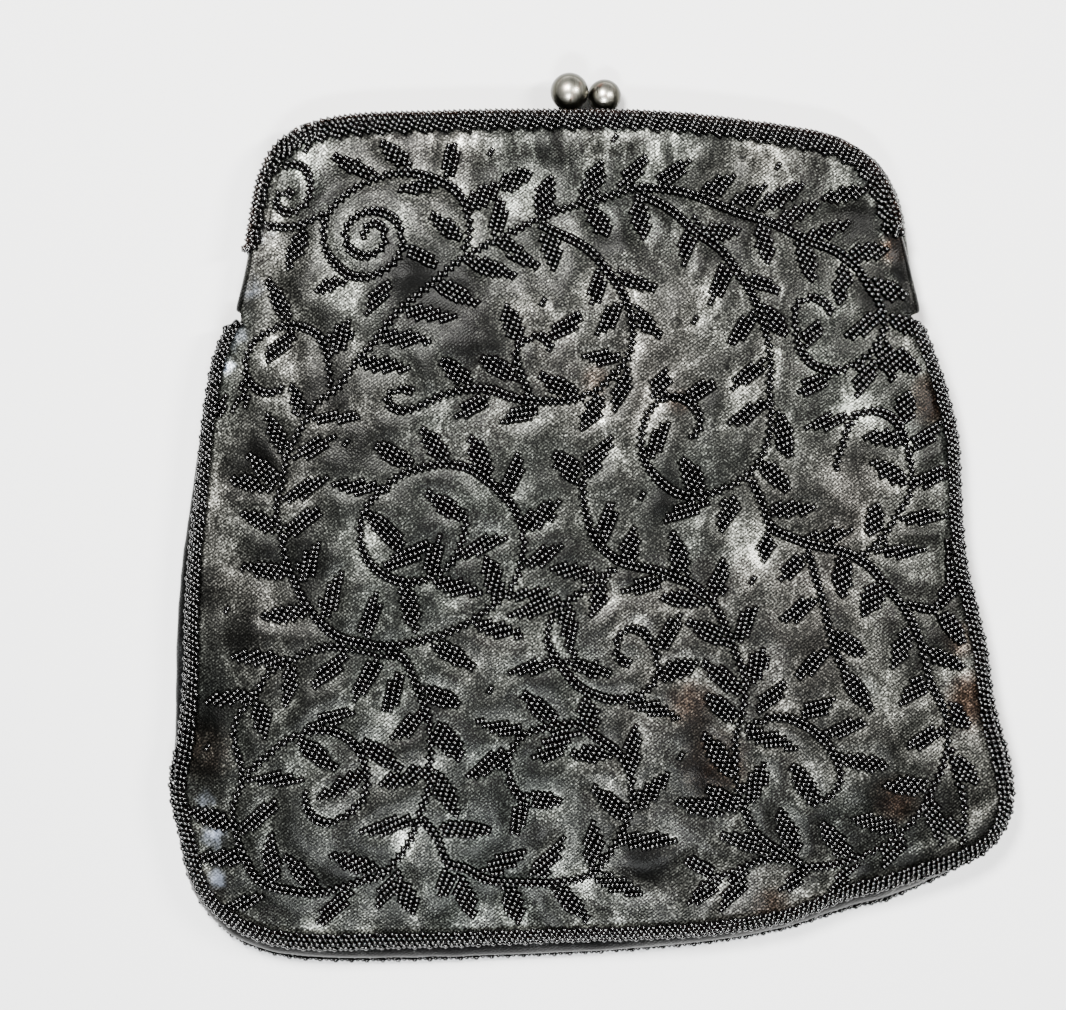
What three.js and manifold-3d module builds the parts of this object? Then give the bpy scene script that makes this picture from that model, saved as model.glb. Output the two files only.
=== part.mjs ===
// Beaded satin clutch with a ball clasp, lying on its back.
// Millimetres. X runs to the right of the front face, Y from the bottom seam to the clasp,
// Z up out of the front face. The origin is the bottom centre of the whole clutch.
import * as THREE from 'three';
import { mergeVertices } from 'three/addons/utils/BufferGeometryUtils.js';
import Module from 'manifold-3d';

const wasm = await Module();
wasm.setup();

// Bag
const bodyWidth = 227.8;
const bodyHeight = 232;
const clothWall = 1.2;
const crownHeight = 16.6;
const crownFullness = 4;
const gap = 0.3;
const sleeveSideGap = 0.45;
const seamRimGap = 0.6;
const hingeDrop = 0.9;

// Beaded seam trim
const trimWidth = 3.8;
const trimHeight = 3;
const gussetHeight = 5.3;
const gussetBulge = 4.4;
const seamSlip = 5.2;

// Clasp frame
const sleeveWidth = 5.2;
const sleeveHeight = 4.2;
const sleeveWall = 1.1;
const barWidth = 2.4;
const barHeight = 1.4;
const frameSlip = 3;
const frameBandWidth = 5;
const frameBandHeight = 1.5;
const frameBandShift = 0.7;

// Clasp
const frontBallRadius = 5.15;
const backBallRadius = 4.6;
const ballSeatGap = 0.45;
const ballPairCentre = -0.75;
const stemRadius = 1.2;
const hingePinRadius = 0.9;
const hingeInset = 2.4;

// Soft folds are measured in these two sizes
const foldDepth = 3;
const foldWidth = 6;

// Rows of the frame table between which the bead bands lie; the arms below them are bare satin
const bandFirstRow = 1.5;
const bandLastRow = 13;

// Heights of the stacked pieces, from the surface that the clutch lies on
const backTrimZ = trimHeight / 2;
const gussetBottomZ = trimHeight + gap;
const gussetTopZ = gussetBottomZ + gussetHeight;
const frontTrimZ = gussetTopZ + gap + trimHeight / 2;
const backBandZ = frameBandHeight / 2;
const backSleeveZ = frameBandHeight + gap + sleeveHeight / 2;
const frontSleeveZ = backSleeveZ + sleeveHeight + gap;
const frontBandZ = frontSleeveZ + sleeveHeight / 2 + gap + frameBandHeight / 2;

// Centre line of the clasp frame, from the left hinge over the top to the right hinge.
// across: share of half the body width. up: share of the body height.
// slip: how far the back half shows outside the front half, share of frameSlip.
const frameRows = [
  { at: 'left hinge', across: -0.823, up: 0.755, slip: 0 },
  { at: 'left arm', across: -0.802, up: 0.794, slip: 0 },
  { at: 'left arm, upper', across: -0.778, up: 0.857, slip: 0 },
  { at: 'left shoulder', across: -0.755, up: 0.915, slip: 0 },
  { at: 'left corner', across: -0.719, up: 0.948, slip: 0.1 },
  { at: 'top, left end', across: -0.636, up: 0.967, slip: 0.15 },
  { at: 'top, left', across: -0.451, up: 0.975, slip: 0.1 },
  { at: 'top middle', across: -0.012, up: 0.979, slip: 0 },
  { at: 'top, right of clasp', across: 0.214, up: 0.975, slip: 0 },
  { at: 'top, right', across: 0.451, up: 0.96, slip: 0.1 },
  { at: 'top, right end', across: 0.584, up: 0.946, slip: 0.4 },
  { at: 'right corner', across: 0.655, up: 0.922, slip: 0.9 },
  { at: 'right shoulder', across: 0.693, up: 0.888, slip: 0.9 },
  { at: 'right arm, upper', across: 0.721, up: 0.845, slip: 0.6 },
  { at: 'right arm', across: 0.745, up: 0.796, slip: 0.2 },
  { at: 'right hinge', across: 0.766, up: 0.754, slip: 0 },
];

// Centre line of the front seam trim, from the left hinge round the bottom to the right hinge.
// slip: how far the back seam lies outside the front seam, share of seamSlip.
// bulge: how far the gusset swells past the seams, share of gussetBulge.
const seamRows = [
  { at: 'left hinge', across: -0.835, up: 0.748, slip: 0, bulge: 0.1 },
  { at: 'left notch', across: -0.866, up: 0.721, slip: 0, bulge: 0.15 },
  { at: 'left, above hip', across: -0.889, up: 0.683, slip: 0, bulge: 0.2 },
  { at: 'left hip', across: -0.909, up: 0.613, slip: 0.05, bulge: 0.3 },
  { at: 'left side, high', across: -0.925, up: 0.528, slip: 0.1, bulge: 0.5 },
  { at: 'left side', across: -0.94, up: 0.45, slip: 0.2, bulge: 0.65 },
  { at: 'left side, low', across: -0.946, up: 0.351, slip: 0.3, bulge: 0.75 },
  { at: 'left bulge, above', across: -0.956, up: 0.264, slip: 0.2, bulge: 0.55 },
  { at: 'left bulge', across: -0.977, up: 0.214, slip: 0, bulge: 0.2 },
  { at: 'left bulge, below', across: -0.973, up: 0.179, slip: 0, bulge: 0.2 },
  { at: 'left corner, start', across: -0.954, up: 0.142, slip: 0.2, bulge: 0.3 },
  { at: 'left corner', across: -0.928, up: 0.093, slip: 0.4, bulge: 0.3 },
  { at: 'left corner, middle', across: -0.88, up: 0.061, slip: 0.6, bulge: 0.3 },
  { at: 'left corner, end', across: -0.814, up: 0.039, slip: 0.8, bulge: 0.3 },
  { at: 'bottom, left', across: -0.707, up: 0.025, slip: 0.85, bulge: 0.3 },
  { at: 'bottom, left of middle', across: -0.475, up: 0.025, slip: 1, bulge: 0.3 },
  { at: 'bottom middle', across: -0.071, up: 0.031, slip: 1, bulge: 0.3 },
  { at: 'bottom, right of middle', across: 0.261, up: 0.038, slip: 0.75, bulge: 0.25 },
  { at: 'bottom, right', across: 0.475, up: 0.055, slip: 0.65, bulge: 0.2 },
  { at: 'right corner, pulled in', across: 0.598, up: 0.08, slip: 0.85, bulge: 0.2 },
  { at: 'right corner, fold', across: 0.705, up: 0.093, slip: 0.9, bulge: 0.2 },
  { at: 'right corner, low', across: 0.814, up: 0.11, slip: 0.6, bulge: 0.15 },
  { at: 'right corner, middle', across: 0.918, up: 0.13, slip: 0.1, bulge: 0.1 },
  { at: 'right corner, end', across: 0.978, up: 0.163, slip: 0, bulge: 0.1 },
  { at: 'right bulge', across: 0.985, up: 0.211, slip: 0, bulge: 0.1 },
  { at: 'right pinch', across: 0.966, up: 0.249, slip: 0, bulge: 0.1 },
  { at: 'right side, low', across: 0.942, up: 0.293, slip: 0, bulge: 0.1 },
  { at: 'right side', across: 0.923, up: 0.369, slip: 0, bulge: 0.1 },
  { at: 'right side, high', across: 0.883, up: 0.45, slip: 0, bulge: 0.1 },
  { at: 'right hip', across: 0.866, up: 0.528, slip: 0, bulge: 0.1 },
  { at: 'right, above hip', across: 0.859, up: 0.608, slip: 0, bulge: 0.1 },
  { at: 'right shoulder', across: 0.826, up: 0.674, slip: 0, bulge: 0.1 },
  { at: 'right hinge', across: 0.776, up: 0.741, slip: 0, bulge: 0.1 },
];

// Folds of the front panel: a straight ridge or valley between two places.
// depth: share of foldDepth, negative for a valley. width: share of foldWidth.
const foldRows = [
  { at: 'corner crease', from: [0.62, 0.108], to: [0.95, 0.165], depth: -1, width: 0.9 },
  { at: 'roll over the crease', from: [0.6, 0.14], to: [0.9, 0.2], depth: 0.45, width: 1.2 },
  { at: 'right pinch', from: [0.82, 0.25], to: [0.93, 0.247], depth: -0.7, width: 1 },
  { at: 'swell below the pinch', from: [0.86, 0.2], to: [0.9, 0.22], depth: 0.5, width: 1.6 },
  { at: 'left arm ridge', from: [-0.7, 0.92], to: [-0.73, 0.77], depth: 0.35, width: 0.9 },
  { at: 'right arm ridge', from: [0.64, 0.88], to: [0.7, 0.77], depth: 0.4, width: 0.9 },
  { at: 'pleat left of the clasp', from: [-0.12, 0.965], to: [-0.16, 0.88], depth: -0.3, width: 1.2 },
  { at: 'pleat under the clasp', from: [0.04, 0.965], to: [0.03, 0.87], depth: 0.3, width: 1 },
  { at: 'left side hollow', from: [-0.82, 0.6], to: [-0.8, 0.46], depth: -0.35, width: 2 },
  { at: 'lower left swell', from: [-0.84, 0.2], to: [-0.74, 0.11], depth: 0.4, width: 1.6 },
  { at: 'middle hollow', from: [-0.3, 0.62], to: [0.2, 0.66], depth: -0.3, width: 3 },
  { at: 'bottom swell', from: [-0.35, 0.14], to: [0.25, 0.17], depth: 0.3, width: 2.6 },
];

// How finely the pieces are drawn
const stepsPerRow = 2;
const frontRings = [0, 0.04, 0.1, 0.18, 0.3, 0.46, 0.7];
const backRings = [0, 0.04, 0.1];
const bodyCentre = new THREE.Vector2(0, bodyHeight / 2);

// Colours and finishes
const satin = { color: 0x3a3e3b, roughness: 0.38, metalness: 0 };
const gussetSatin = { color: 0x2a2d30, roughness: 0.4, metalness: 0 };
const beads = { color: 0x0b0b0d, roughness: 0.12, metalness: 0 };
const nickel = { color: 0xb9b3a6, roughness: 0.18, metalness: 1 };

// A table row's place on the body
function placeOf(row) {
  return new THREE.Vector3(row.across * bodyWidth / 2, row.up * bodyHeight, 0);
}

// Value of a table column at a share of the way along its rows
function columnAt(rows, column, share) {
  const position = share * (rows.length - 1);
  const index = Math.min(Math.floor(position), rows.length - 2);
  return THREE.MathUtils.lerp(rows[index][column], rows[index + 1][column], position - index);
}

// Stations along a table's line: the place, the way out and the column values.
// turn is 1 where the line runs clockwise round the body and -1 where it runs the other way.
function stationsOf(rows, turn, columns) {
  const curve = new THREE.CatmullRomCurve3(rows.map(placeOf), false, 'centripetal');
  const steps = (rows.length - 1) * stepsPerRow;
  const stations = [];
  for (let step = 0; step <= steps; step += 1) {
    const share = step / steps;
    const place = curve.getPoint(share);
    const tangent = curve.getTangent(share);
    const out = new THREE.Vector2(-tangent.y, tangent.x).multiplyScalar(turn).normalize();
    const station = { place: new THREE.Vector2(place.x, place.y), out };
    columns.forEach((column) => {
      station[column] = columnAt(rows, column, share);
    });
    stations.push(station);
  }
  return stations;
}

// A point of a section: outward from the line, and at a height
function sectionPoint(station, outward, height) {
  const x = station.place.x + station.out.x * outward;
  const y = station.place.y + station.out.y * outward;
  return new THREE.Vector3(x, y, height);
}

// Oval section with straight sides that reach its full width and height, flat above and below
function ovalSection(station, outward, height, width, tall, sides) {
  const firstCorner = sides % 4 === 0 ? 0.5 : 0;
  const angles = [];
  for (let side = 0; side < sides; side += 1) {
    angles.push((side + firstCorner) * 2 * Math.PI / sides);
  }
  const halfWidth = width / 2 / Math.max(...angles.map(Math.cos));
  const halfTall = tall / 2 / Math.max(...angles.map(Math.sin));
  return angles.map((angle) => sectionPoint(
    station, outward + Math.cos(angle) * halfWidth, height + Math.sin(angle) * halfTall));
}

// A closed geometry from points and triangles, turned so that its faces point out
function closedGeometry(points, triangles) {
  let volume = 0;
  triangles.forEach(([a, b, c]) => {
    volume += points[a].dot(new THREE.Vector3().crossVectors(points[b], points[c]));
  });
  const facing = volume > 0 ? triangles : triangles.map(([a, b, c]) => [a, c, b]);
  const geometry = new THREE.BufferGeometry().setFromPoints(points);
  geometry.setIndex(facing.flat());
  geometry.computeVertexNormals();
  return geometry;
}

// Joins two rings of points, given by their first index, with a band of triangles
function bandBetween(triangles, first, second, count) {
  for (let i = 0; i < count; i += 1) {
    const next = (i + 1) % count;
    triangles.push([first + i, first + next, second + next]);
    triangles.push([first + i, second + next, second + i]);
  }
}

// A solid through sections with the same number of points, with both ends closed
function loft(sections) {
  const count = sections[0].length;
  const last = (sections.length - 1) * count;
  const triangles = [];
  for (let k = 0; k < sections.length - 1; k += 1) {
    bandBetween(triangles, k * count, (k + 1) * count, count);
  }
  for (let i = 0; i < count / 2 - 1; i += 1) {
    const j = count - 1 - i;
    triangles.push([i, j, j - 1], [i, j - 1, i + 1]);
    triangles.push([last + i, last + j - 1, last + j], [last + i, last + i + 1, last + j - 1]);
  }
  return closedGeometry(sections.flat(), triangles);
}

// An open-ended pipe between outer and inner sections
function pipe(outer, inner) {
  const count = outer[0].length;
  const innerStart = outer.length * count;
  const triangles = [];
  for (let k = 0; k < outer.length - 1; k += 1) {
    bandBetween(triangles, k * count, (k + 1) * count, count);
    bandBetween(triangles, innerStart + (k + 1) * count, innerStart + k * count, count);
  }
  const last = (outer.length - 1) * count;
  bandBetween(triangles, innerStart, 0, count);
  bandBetween(triangles, last, innerStart + last, count);
  return closedGeometry([...outer.flat(), ...inner.flat()], triangles);
}

// A cloth panel: rings of points from its rim to its middle, on its outer and its inner face
function panel(outerRings, outerMiddle, innerRings, innerMiddle) {
  const count = outerRings[0].length;
  const points = [...outerRings.flat(), outerMiddle, ...innerRings.flat(), innerMiddle];
  const middle = outerRings.length * count;
  const innerStart = middle + 1;
  const triangles = [];
  for (let k = 0; k < outerRings.length - 1; k += 1) {
    bandBetween(triangles, k * count, (k + 1) * count, count);
    bandBetween(triangles, innerStart + (k + 1) * count, innerStart + k * count, count);
  }
  const lastRing = (outerRings.length - 1) * count;
  for (let i = 0; i < count; i += 1) {
    const next = (i + 1) % count;
    triangles.push([lastRing + i, lastRing + next, middle]);
    triangles.push([innerStart + lastRing + next, innerStart + lastRing + i, points.length - 1]);
  }
  bandBetween(triangles, innerStart, 0, count);
  return closedGeometry(points, triangles);
}

function toManifold(geometry) {
  const bare = geometry.clone();
  bare.deleteAttribute('normal');
  bare.deleteAttribute('uv');
  const merged = mergeVertices(bare, 1e-4);
  const vertProperties = new Float32Array(merged.attributes.position.array);
  const triVerts = new Uint32Array(merged.index.array);
  return new wasm.Manifold(new wasm.Mesh({ numProp: 3, vertProperties, triVerts }));
}

function toGeometry(solid) {
  const mesh = solid.getMesh();
  const geometry = new THREE.BufferGeometry();
  const positions = new Float32Array(mesh.vertProperties);
  geometry.setAttribute('position', new THREE.BufferAttribute(positions, 3));
  geometry.setIndex(Array.from(mesh.triVerts));
  geometry.computeVertexNormals();
  return geometry;
}

function piece(name, geometry, finish) {
  const mesh = new THREE.Mesh(geometry, new THREE.MeshStandardMaterial(finish));
  mesh.name = name;
  return mesh;
}

// The line of the back half: the front line moved outward by its slip
function slipped(stations, slipSize) {
  return stations.map((station) => {
    const place = station.place.clone().addScaledVector(station.out, station.slip * slipSize);
    return { ...station, place };
  });
}

const frameFront = stationsOf(frameRows, 1, ['slip']);
const frameBack = slipped(frameFront, frameSlip);
const seamFront = stationsOf(seamRows, -1, ['slip', 'bulge']);
const seamBack = slipped(seamFront, seamSlip);

// Rim of a cloth panel, once round: clear of the frame sleeve above and under the trim below
function rimStations(over, under) {
  const frameInset = sleeveWidth / 2 + sleeveSideGap;
  const rim = [];
  over.forEach((station, i) => {
    const place = station.place.clone().addScaledVector(station.out, -frameInset);
    const atEnd = i === 0 || i === over.length - 1;
    place.y -= atEnd ? hingeDrop : 0;
    rim.push({ place, alongFrame: 1 });
  });
  [...under].reverse().forEach((station) => {
    const place = station.place.clone().addScaledVector(station.out, -seamRimGap);
    rim.push({ place, alongFrame: 0 });
  });
  return rim.map((station, i) => {
    const before = rim[(i + rim.length - 1) % rim.length].alongFrame;
    const after = rim[(i + 1) % rim.length].alongFrame;
    return { place: station.place, alongFrame: (before + station.alongFrame + after) / 3 };
  });
}

// Distance from a place to a straight stretch
function distanceToStretch(place, from, to) {
  const along = to.clone().sub(from);
  const share = THREE.MathUtils.clamp(place.clone().sub(from).dot(along) / along.lengthSq(), 0, 1);
  return place.distanceTo(from.clone().addScaledVector(along, share));
}

// Height that the folds add at a place of the front panel
function foldHeight(place) {
  let height = 0;
  foldRows.forEach((fold) => {
    const from = new THREE.Vector2(fold.from[0] * bodyWidth / 2, fold.from[1] * bodyHeight);
    const to = new THREE.Vector2(fold.to[0] * bodyWidth / 2, fold.to[1] * bodyHeight);
    const away = distanceToStretch(place, from, to) / (fold.width * foldWidth);
    height += fold.depth * foldDepth * Math.exp(-away * away);
  });
  return height;
}

// One ring of a panel: the rim drawn in towards the middle, with a height at each point
function ringOf(rim, inset, heightAt) {
  return rim.map((station) => {
    const place = station.place.clone().lerp(bodyCentre, inset);
    return new THREE.Vector3(place.x, place.y, heightAt(place, station, inset));
  });
}

// A ring moved up or down by the wall
function movedRing(ring, distance) {
  return ring.map((point) => new THREE.Vector3(point.x, point.y, point.z + distance));
}

// Front panel: rises from under the trim to a soft crown and carries the folds
function frontPanel() {
  const rim = rimStations(frameFront, seamFront);
  const seamRimZ = gussetTopZ - gap;
  const frameRimZ = frontSleeveZ + sleeveHeight / 4;
  const heightAt = (place, station, inset) => {
    const rimZ = THREE.MathUtils.lerp(seamRimZ, frameRimZ, station.alongFrame);
    const rise = 1 - (1 - inset) ** crownFullness;
    return THREE.MathUtils.lerp(rimZ, crownHeight, rise) + foldHeight(place) * Math.sqrt(rise);
  };
  const outer = frontRings.map((inset) => ringOf(rim, inset, heightAt));
  const crown = crownHeight + foldHeight(bodyCentre);
  const outerMiddle = new THREE.Vector3(bodyCentre.x, bodyCentre.y, crown);
  const inner = outer.map((ring) => movedRing(ring, -clothWall));
  const innerMiddle = new THREE.Vector3(bodyCentre.x, bodyCentre.y, crown - clothWall);
  return panel(outer, outerMiddle, inner, innerMiddle);
}

// Back panel: flat where it lies, turned up at its rim over the back trim
function backPanel() {
  const rim = rimStations(frameBack, seamBack);
  const seamRimZ = gussetBottomZ + gap;
  const frameRimZ = backSleeveZ - sleeveHeight / 4;
  const flatInset = backRings[backRings.length - 1];
  const heightAt = (place, station, inset) => {
    const rimZ = THREE.MathUtils.lerp(seamRimZ, frameRimZ, station.alongFrame);
    return rimZ * (1 - inset / flatInset) ** 2;
  };
  const outer = backRings.map((inset) => ringOf(rim, inset, heightAt));
  const outerMiddle = new THREE.Vector3(bodyCentre.x, bodyCentre.y, 0);
  const inner = outer.map((ring) => movedRing(ring, clothWall));
  const innerMiddle = new THREE.Vector3(bodyCentre.x, bodyCentre.y, clothWall);
  return panel(outer, outerMiddle, inner, innerMiddle);
}

// Gusset: a strip that swells outward between the two seams
function sideGusset() {
  const corners = 5;
  const middleZ = (gussetBottomZ + gussetTopZ) / 2;
  const sections = seamFront.map((station) => {
    const arc = (wall) => {
      const points = [];
      for (let i = 0; i < corners; i += 1) {
        const angle = Math.PI * (0.5 - i / (corners - 1));
        const start = station.slip * seamSlip * (1 - Math.sin(angle)) / 2;
        const bulge = station.bulge * gussetBulge + clothWall - wall;
        const half = gussetHeight / 2 - wall;
        const outward = start + bulge * Math.cos(angle);
        points.push(sectionPoint(station, outward, middleZ + half * Math.sin(angle)));
      }
      return points;
    };
    return [...arc(0), ...arc(clothWall).reverse()];
  });
  return loft(sections);
}

// Bead trim of a seam, as one thick rope
function seamTrim(stations, height) {
  return loft(stations.map((station) => ovalSection(station, 0, height, trimWidth, trimHeight, 6)));
}

// Bead band of a frame half, on the face of its sleeve
function frameBand(stations, height) {
  const section = (station) => ovalSection(
    station, frameBandShift, height, frameBandWidth, frameBandHeight, 6);
  const beaded = stations.slice(bandFirstRow * stepsPerRow, bandLastRow * stepsPerRow + 1);
  return loft(beaded.map(section));
}

// Place on the frame that is nearest to a distance across the body
function frameEdgeY(stations, x) {
  const top = stations.filter((station) => station.out.y > 0.8);
  const index = top.findIndex((station) => station.place.x > x);
  const share = (x - top[index - 1].place.x) / (top[index].place.x - top[index - 1].place.x);
  return THREE.MathUtils.lerp(top[index - 1].place.y, top[index].place.y, share);
}

// The two clasp balls lean past each other, clear by the seat gap
const frontBallZ = frontSleeveZ;
const backBallZ = backBallRadius + gap;
const ballReach = frontBallRadius + backBallRadius + ballSeatGap;
const ballRise = frontBallZ - backBallZ;
const ballStep = frontBallRadius - backBallRadius;
const ballSpread = Math.sqrt(ballReach ** 2 - ballRise ** 2 - ballStep ** 2);
const frontBallX = ballPairCentre - ballSpread / 2;
const backBallX = ballPairCentre + ballSpread / 2;

// A ball on its stem, which ends inside the frame bar
function ballOnStem(stations, x, ballZ, radius, barZ) {
  const barY = frameEdgeY(stations, x);
  const ballY = barY + sleeveWidth / 2 + ballSeatGap + radius;
  const ball = new THREE.SphereGeometry(radius, 16, 11).translate(x, ballY, ballZ);
  const stemLength = ballY - barY;
  const stem = new THREE.CylinderGeometry(stemRadius, stemRadius, stemLength, 10);
  stem.translate(x, barY + stemLength / 2, barZ);
  return toManifold(ball).add(toManifold(stem));
}

// One metal half of the clasp frame: bar, stem and ball soldered together
function claspFrame(stations, barZ, x, ballZ, radius) {
  const section = (station) => ovalSection(station, 0, barZ, barWidth, barHeight, 8);
  const bar = toManifold(loft(stations.map(section)));
  return toGeometry(bar.add(ballOnStem(stations, x, ballZ, radius, barZ)));
}

// Where a hinge pin stands: on the frame line, a little above its end
function hingePlace(stations, end) {
  const last = end === 'left' ? stations[0] : stations[stations.length - 1];
  const inner = end === 'left' ? stations[1] : stations[stations.length - 2];
  const away = inner.place.clone().sub(last.place).normalize();
  return last.place.clone().addScaledVector(away, hingeInset);
}

// A round post standing between two heights
function post(place, radius, bottom, top) {
  const geometry = new THREE.CylinderGeometry(radius, radius, top - bottom, 12);
  geometry.rotateX(Math.PI / 2);
  return geometry.translate(place.x, place.y, (top + bottom) / 2);
}

function hingePin(end) {
  const bottom = backSleeveZ + barHeight / 2 + gap;
  const top = frontSleeveZ - barHeight / 2 - gap;
  return post(hingePlace(frameFront, end), hingePinRadius, bottom, top);
}

// Satin sleeve round a frame bar, with holes for the clasp stem and the hinge pins
function frameSleeve(stations, height, x) {
  const openWidth = sleeveWidth - 2 * sleeveWall;
  const openHeight = sleeveHeight - 2 * sleeveWall;
  const outer = stations.map((s) => ovalSection(s, 0, height, sleeveWidth, sleeveHeight, 8));
  const inner = stations.map((s) => ovalSection(s, 0, height, openWidth, openHeight, 8));
  const holeRadius = stemRadius + gap;
  const hole = new THREE.CylinderGeometry(holeRadius, holeRadius, sleeveWidth, 10);
  hole.translate(x, frameEdgeY(stations, x) + sleeveWidth / 2, height);
  let sleeve = toManifold(pipe(outer, inner)).subtract(toManifold(hole));
  ['left', 'right'].forEach((end) => {
    const place = hingePlace(frameFront, end);
    const shaft = post(place, hingePinRadius + gap, backSleeveZ, frontSleeveZ);
    sleeve = sleeve.subtract(toManifold(shaft));
  });
  return toGeometry(sleeve);
}

const clutch = new THREE.Group();
clutch.add(piece('front_panel', frontPanel(), satin));
clutch.add(piece('back_panel', backPanel(), satin));
clutch.add(piece('side_gusset', sideGusset(), gussetSatin));
clutch.add(piece('front_trim', seamTrim(seamFront, frontTrimZ), beads));
clutch.add(piece('back_trim', seamTrim(seamBack, backTrimZ), beads));
clutch.add(piece('front_frame_sleeve', frameSleeve(frameFront, frontSleeveZ, frontBallX), satin));
clutch.add(piece('back_frame_sleeve', frameSleeve(frameBack, backSleeveZ, backBallX), satin));
clutch.add(piece('front_frame_beads', frameBand(frameFront, frontBandZ), beads));
clutch.add(piece('back_frame_beads', frameBand(frameBack, backBandZ), beads));
clutch.add(piece('front_clasp_frame',
  claspFrame(frameFront, frontSleeveZ, frontBallX, frontBallZ, frontBallRadius), nickel));
clutch.add(piece('back_clasp_frame',
  claspFrame(frameBack, backSleeveZ, backBallX, backBallZ, backBallRadius), nickel));
clutch.add(piece('left_hinge_pin', hingePin('left'), nickel));
clutch.add(piece('right_hinge_pin', hingePin('right'), nickel));

// The origin stands at the bottom centre of everything
const whole = new THREE.Box3().setFromObject(clutch);
const middle = whole.getCenter(new THREE.Vector3());
clutch.position.set(-middle.x, -middle.y, -whole.min.z);

export default clutch;
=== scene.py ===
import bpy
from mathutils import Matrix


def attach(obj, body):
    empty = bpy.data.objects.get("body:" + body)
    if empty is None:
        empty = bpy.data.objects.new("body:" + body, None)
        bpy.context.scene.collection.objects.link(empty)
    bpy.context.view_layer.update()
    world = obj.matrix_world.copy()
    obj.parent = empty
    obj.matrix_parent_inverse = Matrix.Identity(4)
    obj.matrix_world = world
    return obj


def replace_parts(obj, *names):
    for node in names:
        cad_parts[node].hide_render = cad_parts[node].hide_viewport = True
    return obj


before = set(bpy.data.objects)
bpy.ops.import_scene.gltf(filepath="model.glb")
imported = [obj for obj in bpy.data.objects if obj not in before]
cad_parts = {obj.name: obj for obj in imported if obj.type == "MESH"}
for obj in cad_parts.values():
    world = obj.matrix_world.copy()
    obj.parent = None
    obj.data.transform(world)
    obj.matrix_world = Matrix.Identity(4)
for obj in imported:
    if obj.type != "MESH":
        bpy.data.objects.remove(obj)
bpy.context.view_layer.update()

import copy
import math
import random

import bmesh
import bpy
import numpy as np
from mathutils import Vector, noise
from mathutils.bvhtree import BVHTree
from mathutils.kdtree import KDTree

mm = 0.001
up = Vector((0, 0, 1))
castFrom = 0.1
weldWithin = 0.01 * mm
skewReach = 5

# How the photo's pixels lie on the table: a camera straight above the clutch.
photo = {
    "pixelsPerMm": 3.7,
    "originX": 590, "originY": 961.5,
    "shiftX": -0.470, "shiftY": -119.570,
    "planeHeight": 10,
    "cameraX": -15.88, "cameraY": 3.81, "cameraHeight": 630,
    "lens": 77.5, "sensor": 36, "clipStart": 0.01,
}

# The soft front and back of the pouch.
satin = {
    "centre": (-0.47, -3.57),
    "cells": 150, "backCells": 90,
    "wall": 1.0, "hem": 4.0, "flat": (0.228, 0.232),
    "sleeveTuck": 1.5, "tintAbove": 6,
    "smoothPasses": 14,
    "quiltDepth": 0.95, "quiltReach": 6.0, "quiltSink": 0.7,
    "puckerHeight": 1.0, "puckerSize": 9.5,
    "wrinkleHeight": 0.34, "wrinkleSize": 4.4, "wrinkleStretch": 0.7,
    "reliefShare": 0.9, "besideBeads": 0.4,
    "calmPasses": 60, "reliefScale": 0.55, "reliefLeast": -0.6,
    "backPucker": 0.12,
    "gussetPucker": 0.22, "gussetPuckerSize": 5.0,
    "roundings": 2, "pairWithin": 0.8,
}

# Glass seed beads, in mm.
bead = {
    "radius": 0.79, "halfLength": 0.62,
    "shoulder": 0.86,
    "pitch": 1.23, "rowPitch": 1.45,
    "sink": 0.12,
    # Thread pads: black sewing thread under the beads, a little wider than them, also standing in
    # as painted shade between and around them.
    "threadDepth": 0.47, "threadHalfLength": 0.72, "threadHalfWidth": 0.84,
    "widths": (0.93, 1.06), "lengths": (0.92, 1.05),
    "wobble": 0.07, "turnWobble": 0.1,
    # Painted shade on the beads' sides and undersides, fading out towards their tops.
    "shadeBelow": 0.70, "shadeFade": 0.3, "sideShadeStrength": 0.86,
    "segments": 8, "rings": 4,
    "perPiece": 4000,
}

# Stems are pairs of beads side by side; clear is the least distance to a bead already sewn.
stemForm = {
    "lean": 60, "leanLeast": 36, "across": 2,
    "pitch": 1.34, "gap": 1.36, "tighten": 0.85,
    "step": 0.2, "clear": 0.8 * bead["pitch"],
}

# Leaves swell from the foot and close at the tip, as shares of their half width.
leafForm = {
    "foot": 0.38, "footSwell": 2.2, "tip": 0.14, "tipSwell": 2.4,
    "step": 0.2, "leastSteps": 5, "shift": 0.2, "turn": 0.06, "clear": 0.95,
}

singleForm = {"lean": 60, "beads": 2}

# The ropes of slanted bead rows along the two seams.
trim = {
    "rowPitch": 1.42, "topBeads": 4, "underBeads": 2,
    "lean": 55, "leanLeast": 46, "dome": 0.5,
    "scallop": 0.4, "scallopRows": 3,
    "underSpread": 1.3, "leastHeight": 0.3, "wobble": 0.1,
}

# The bead bands on the two halves of the clasp frame.
frameBand = {
    "rowPitch": 1.42, "beadsAcross": 5,
    "lean": 62, "leanLeast": 40,
    "scallop": 0.5, "scallopRows": 4, "brownFrom": 0.35,
    "narrowBefore": -70, "narrowBelow": 100, "narrowBeads": 3, "narrowEvery": 4,
    "crown": 0.25, "underCrown": -0.1, "brownMost": 0.6, "wobble": 0.08,
}

# How the long CAD pieces are scanned outwards from the middle of the pouch.
ringScan = {
    "inner": 55.0, "outer": 150.0, "near": 7, "step": 0.5,
    "directions": 700, "leastHits": 3, "smoothPasses": 6,
}

# How the rim of the cloth is felt for from outside, in mm.
rimScan = {"from": 150.0, "to": 40, "step": 0.2, "back": 4, "sleeveGap": 0.1, "directions": 720}

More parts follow.
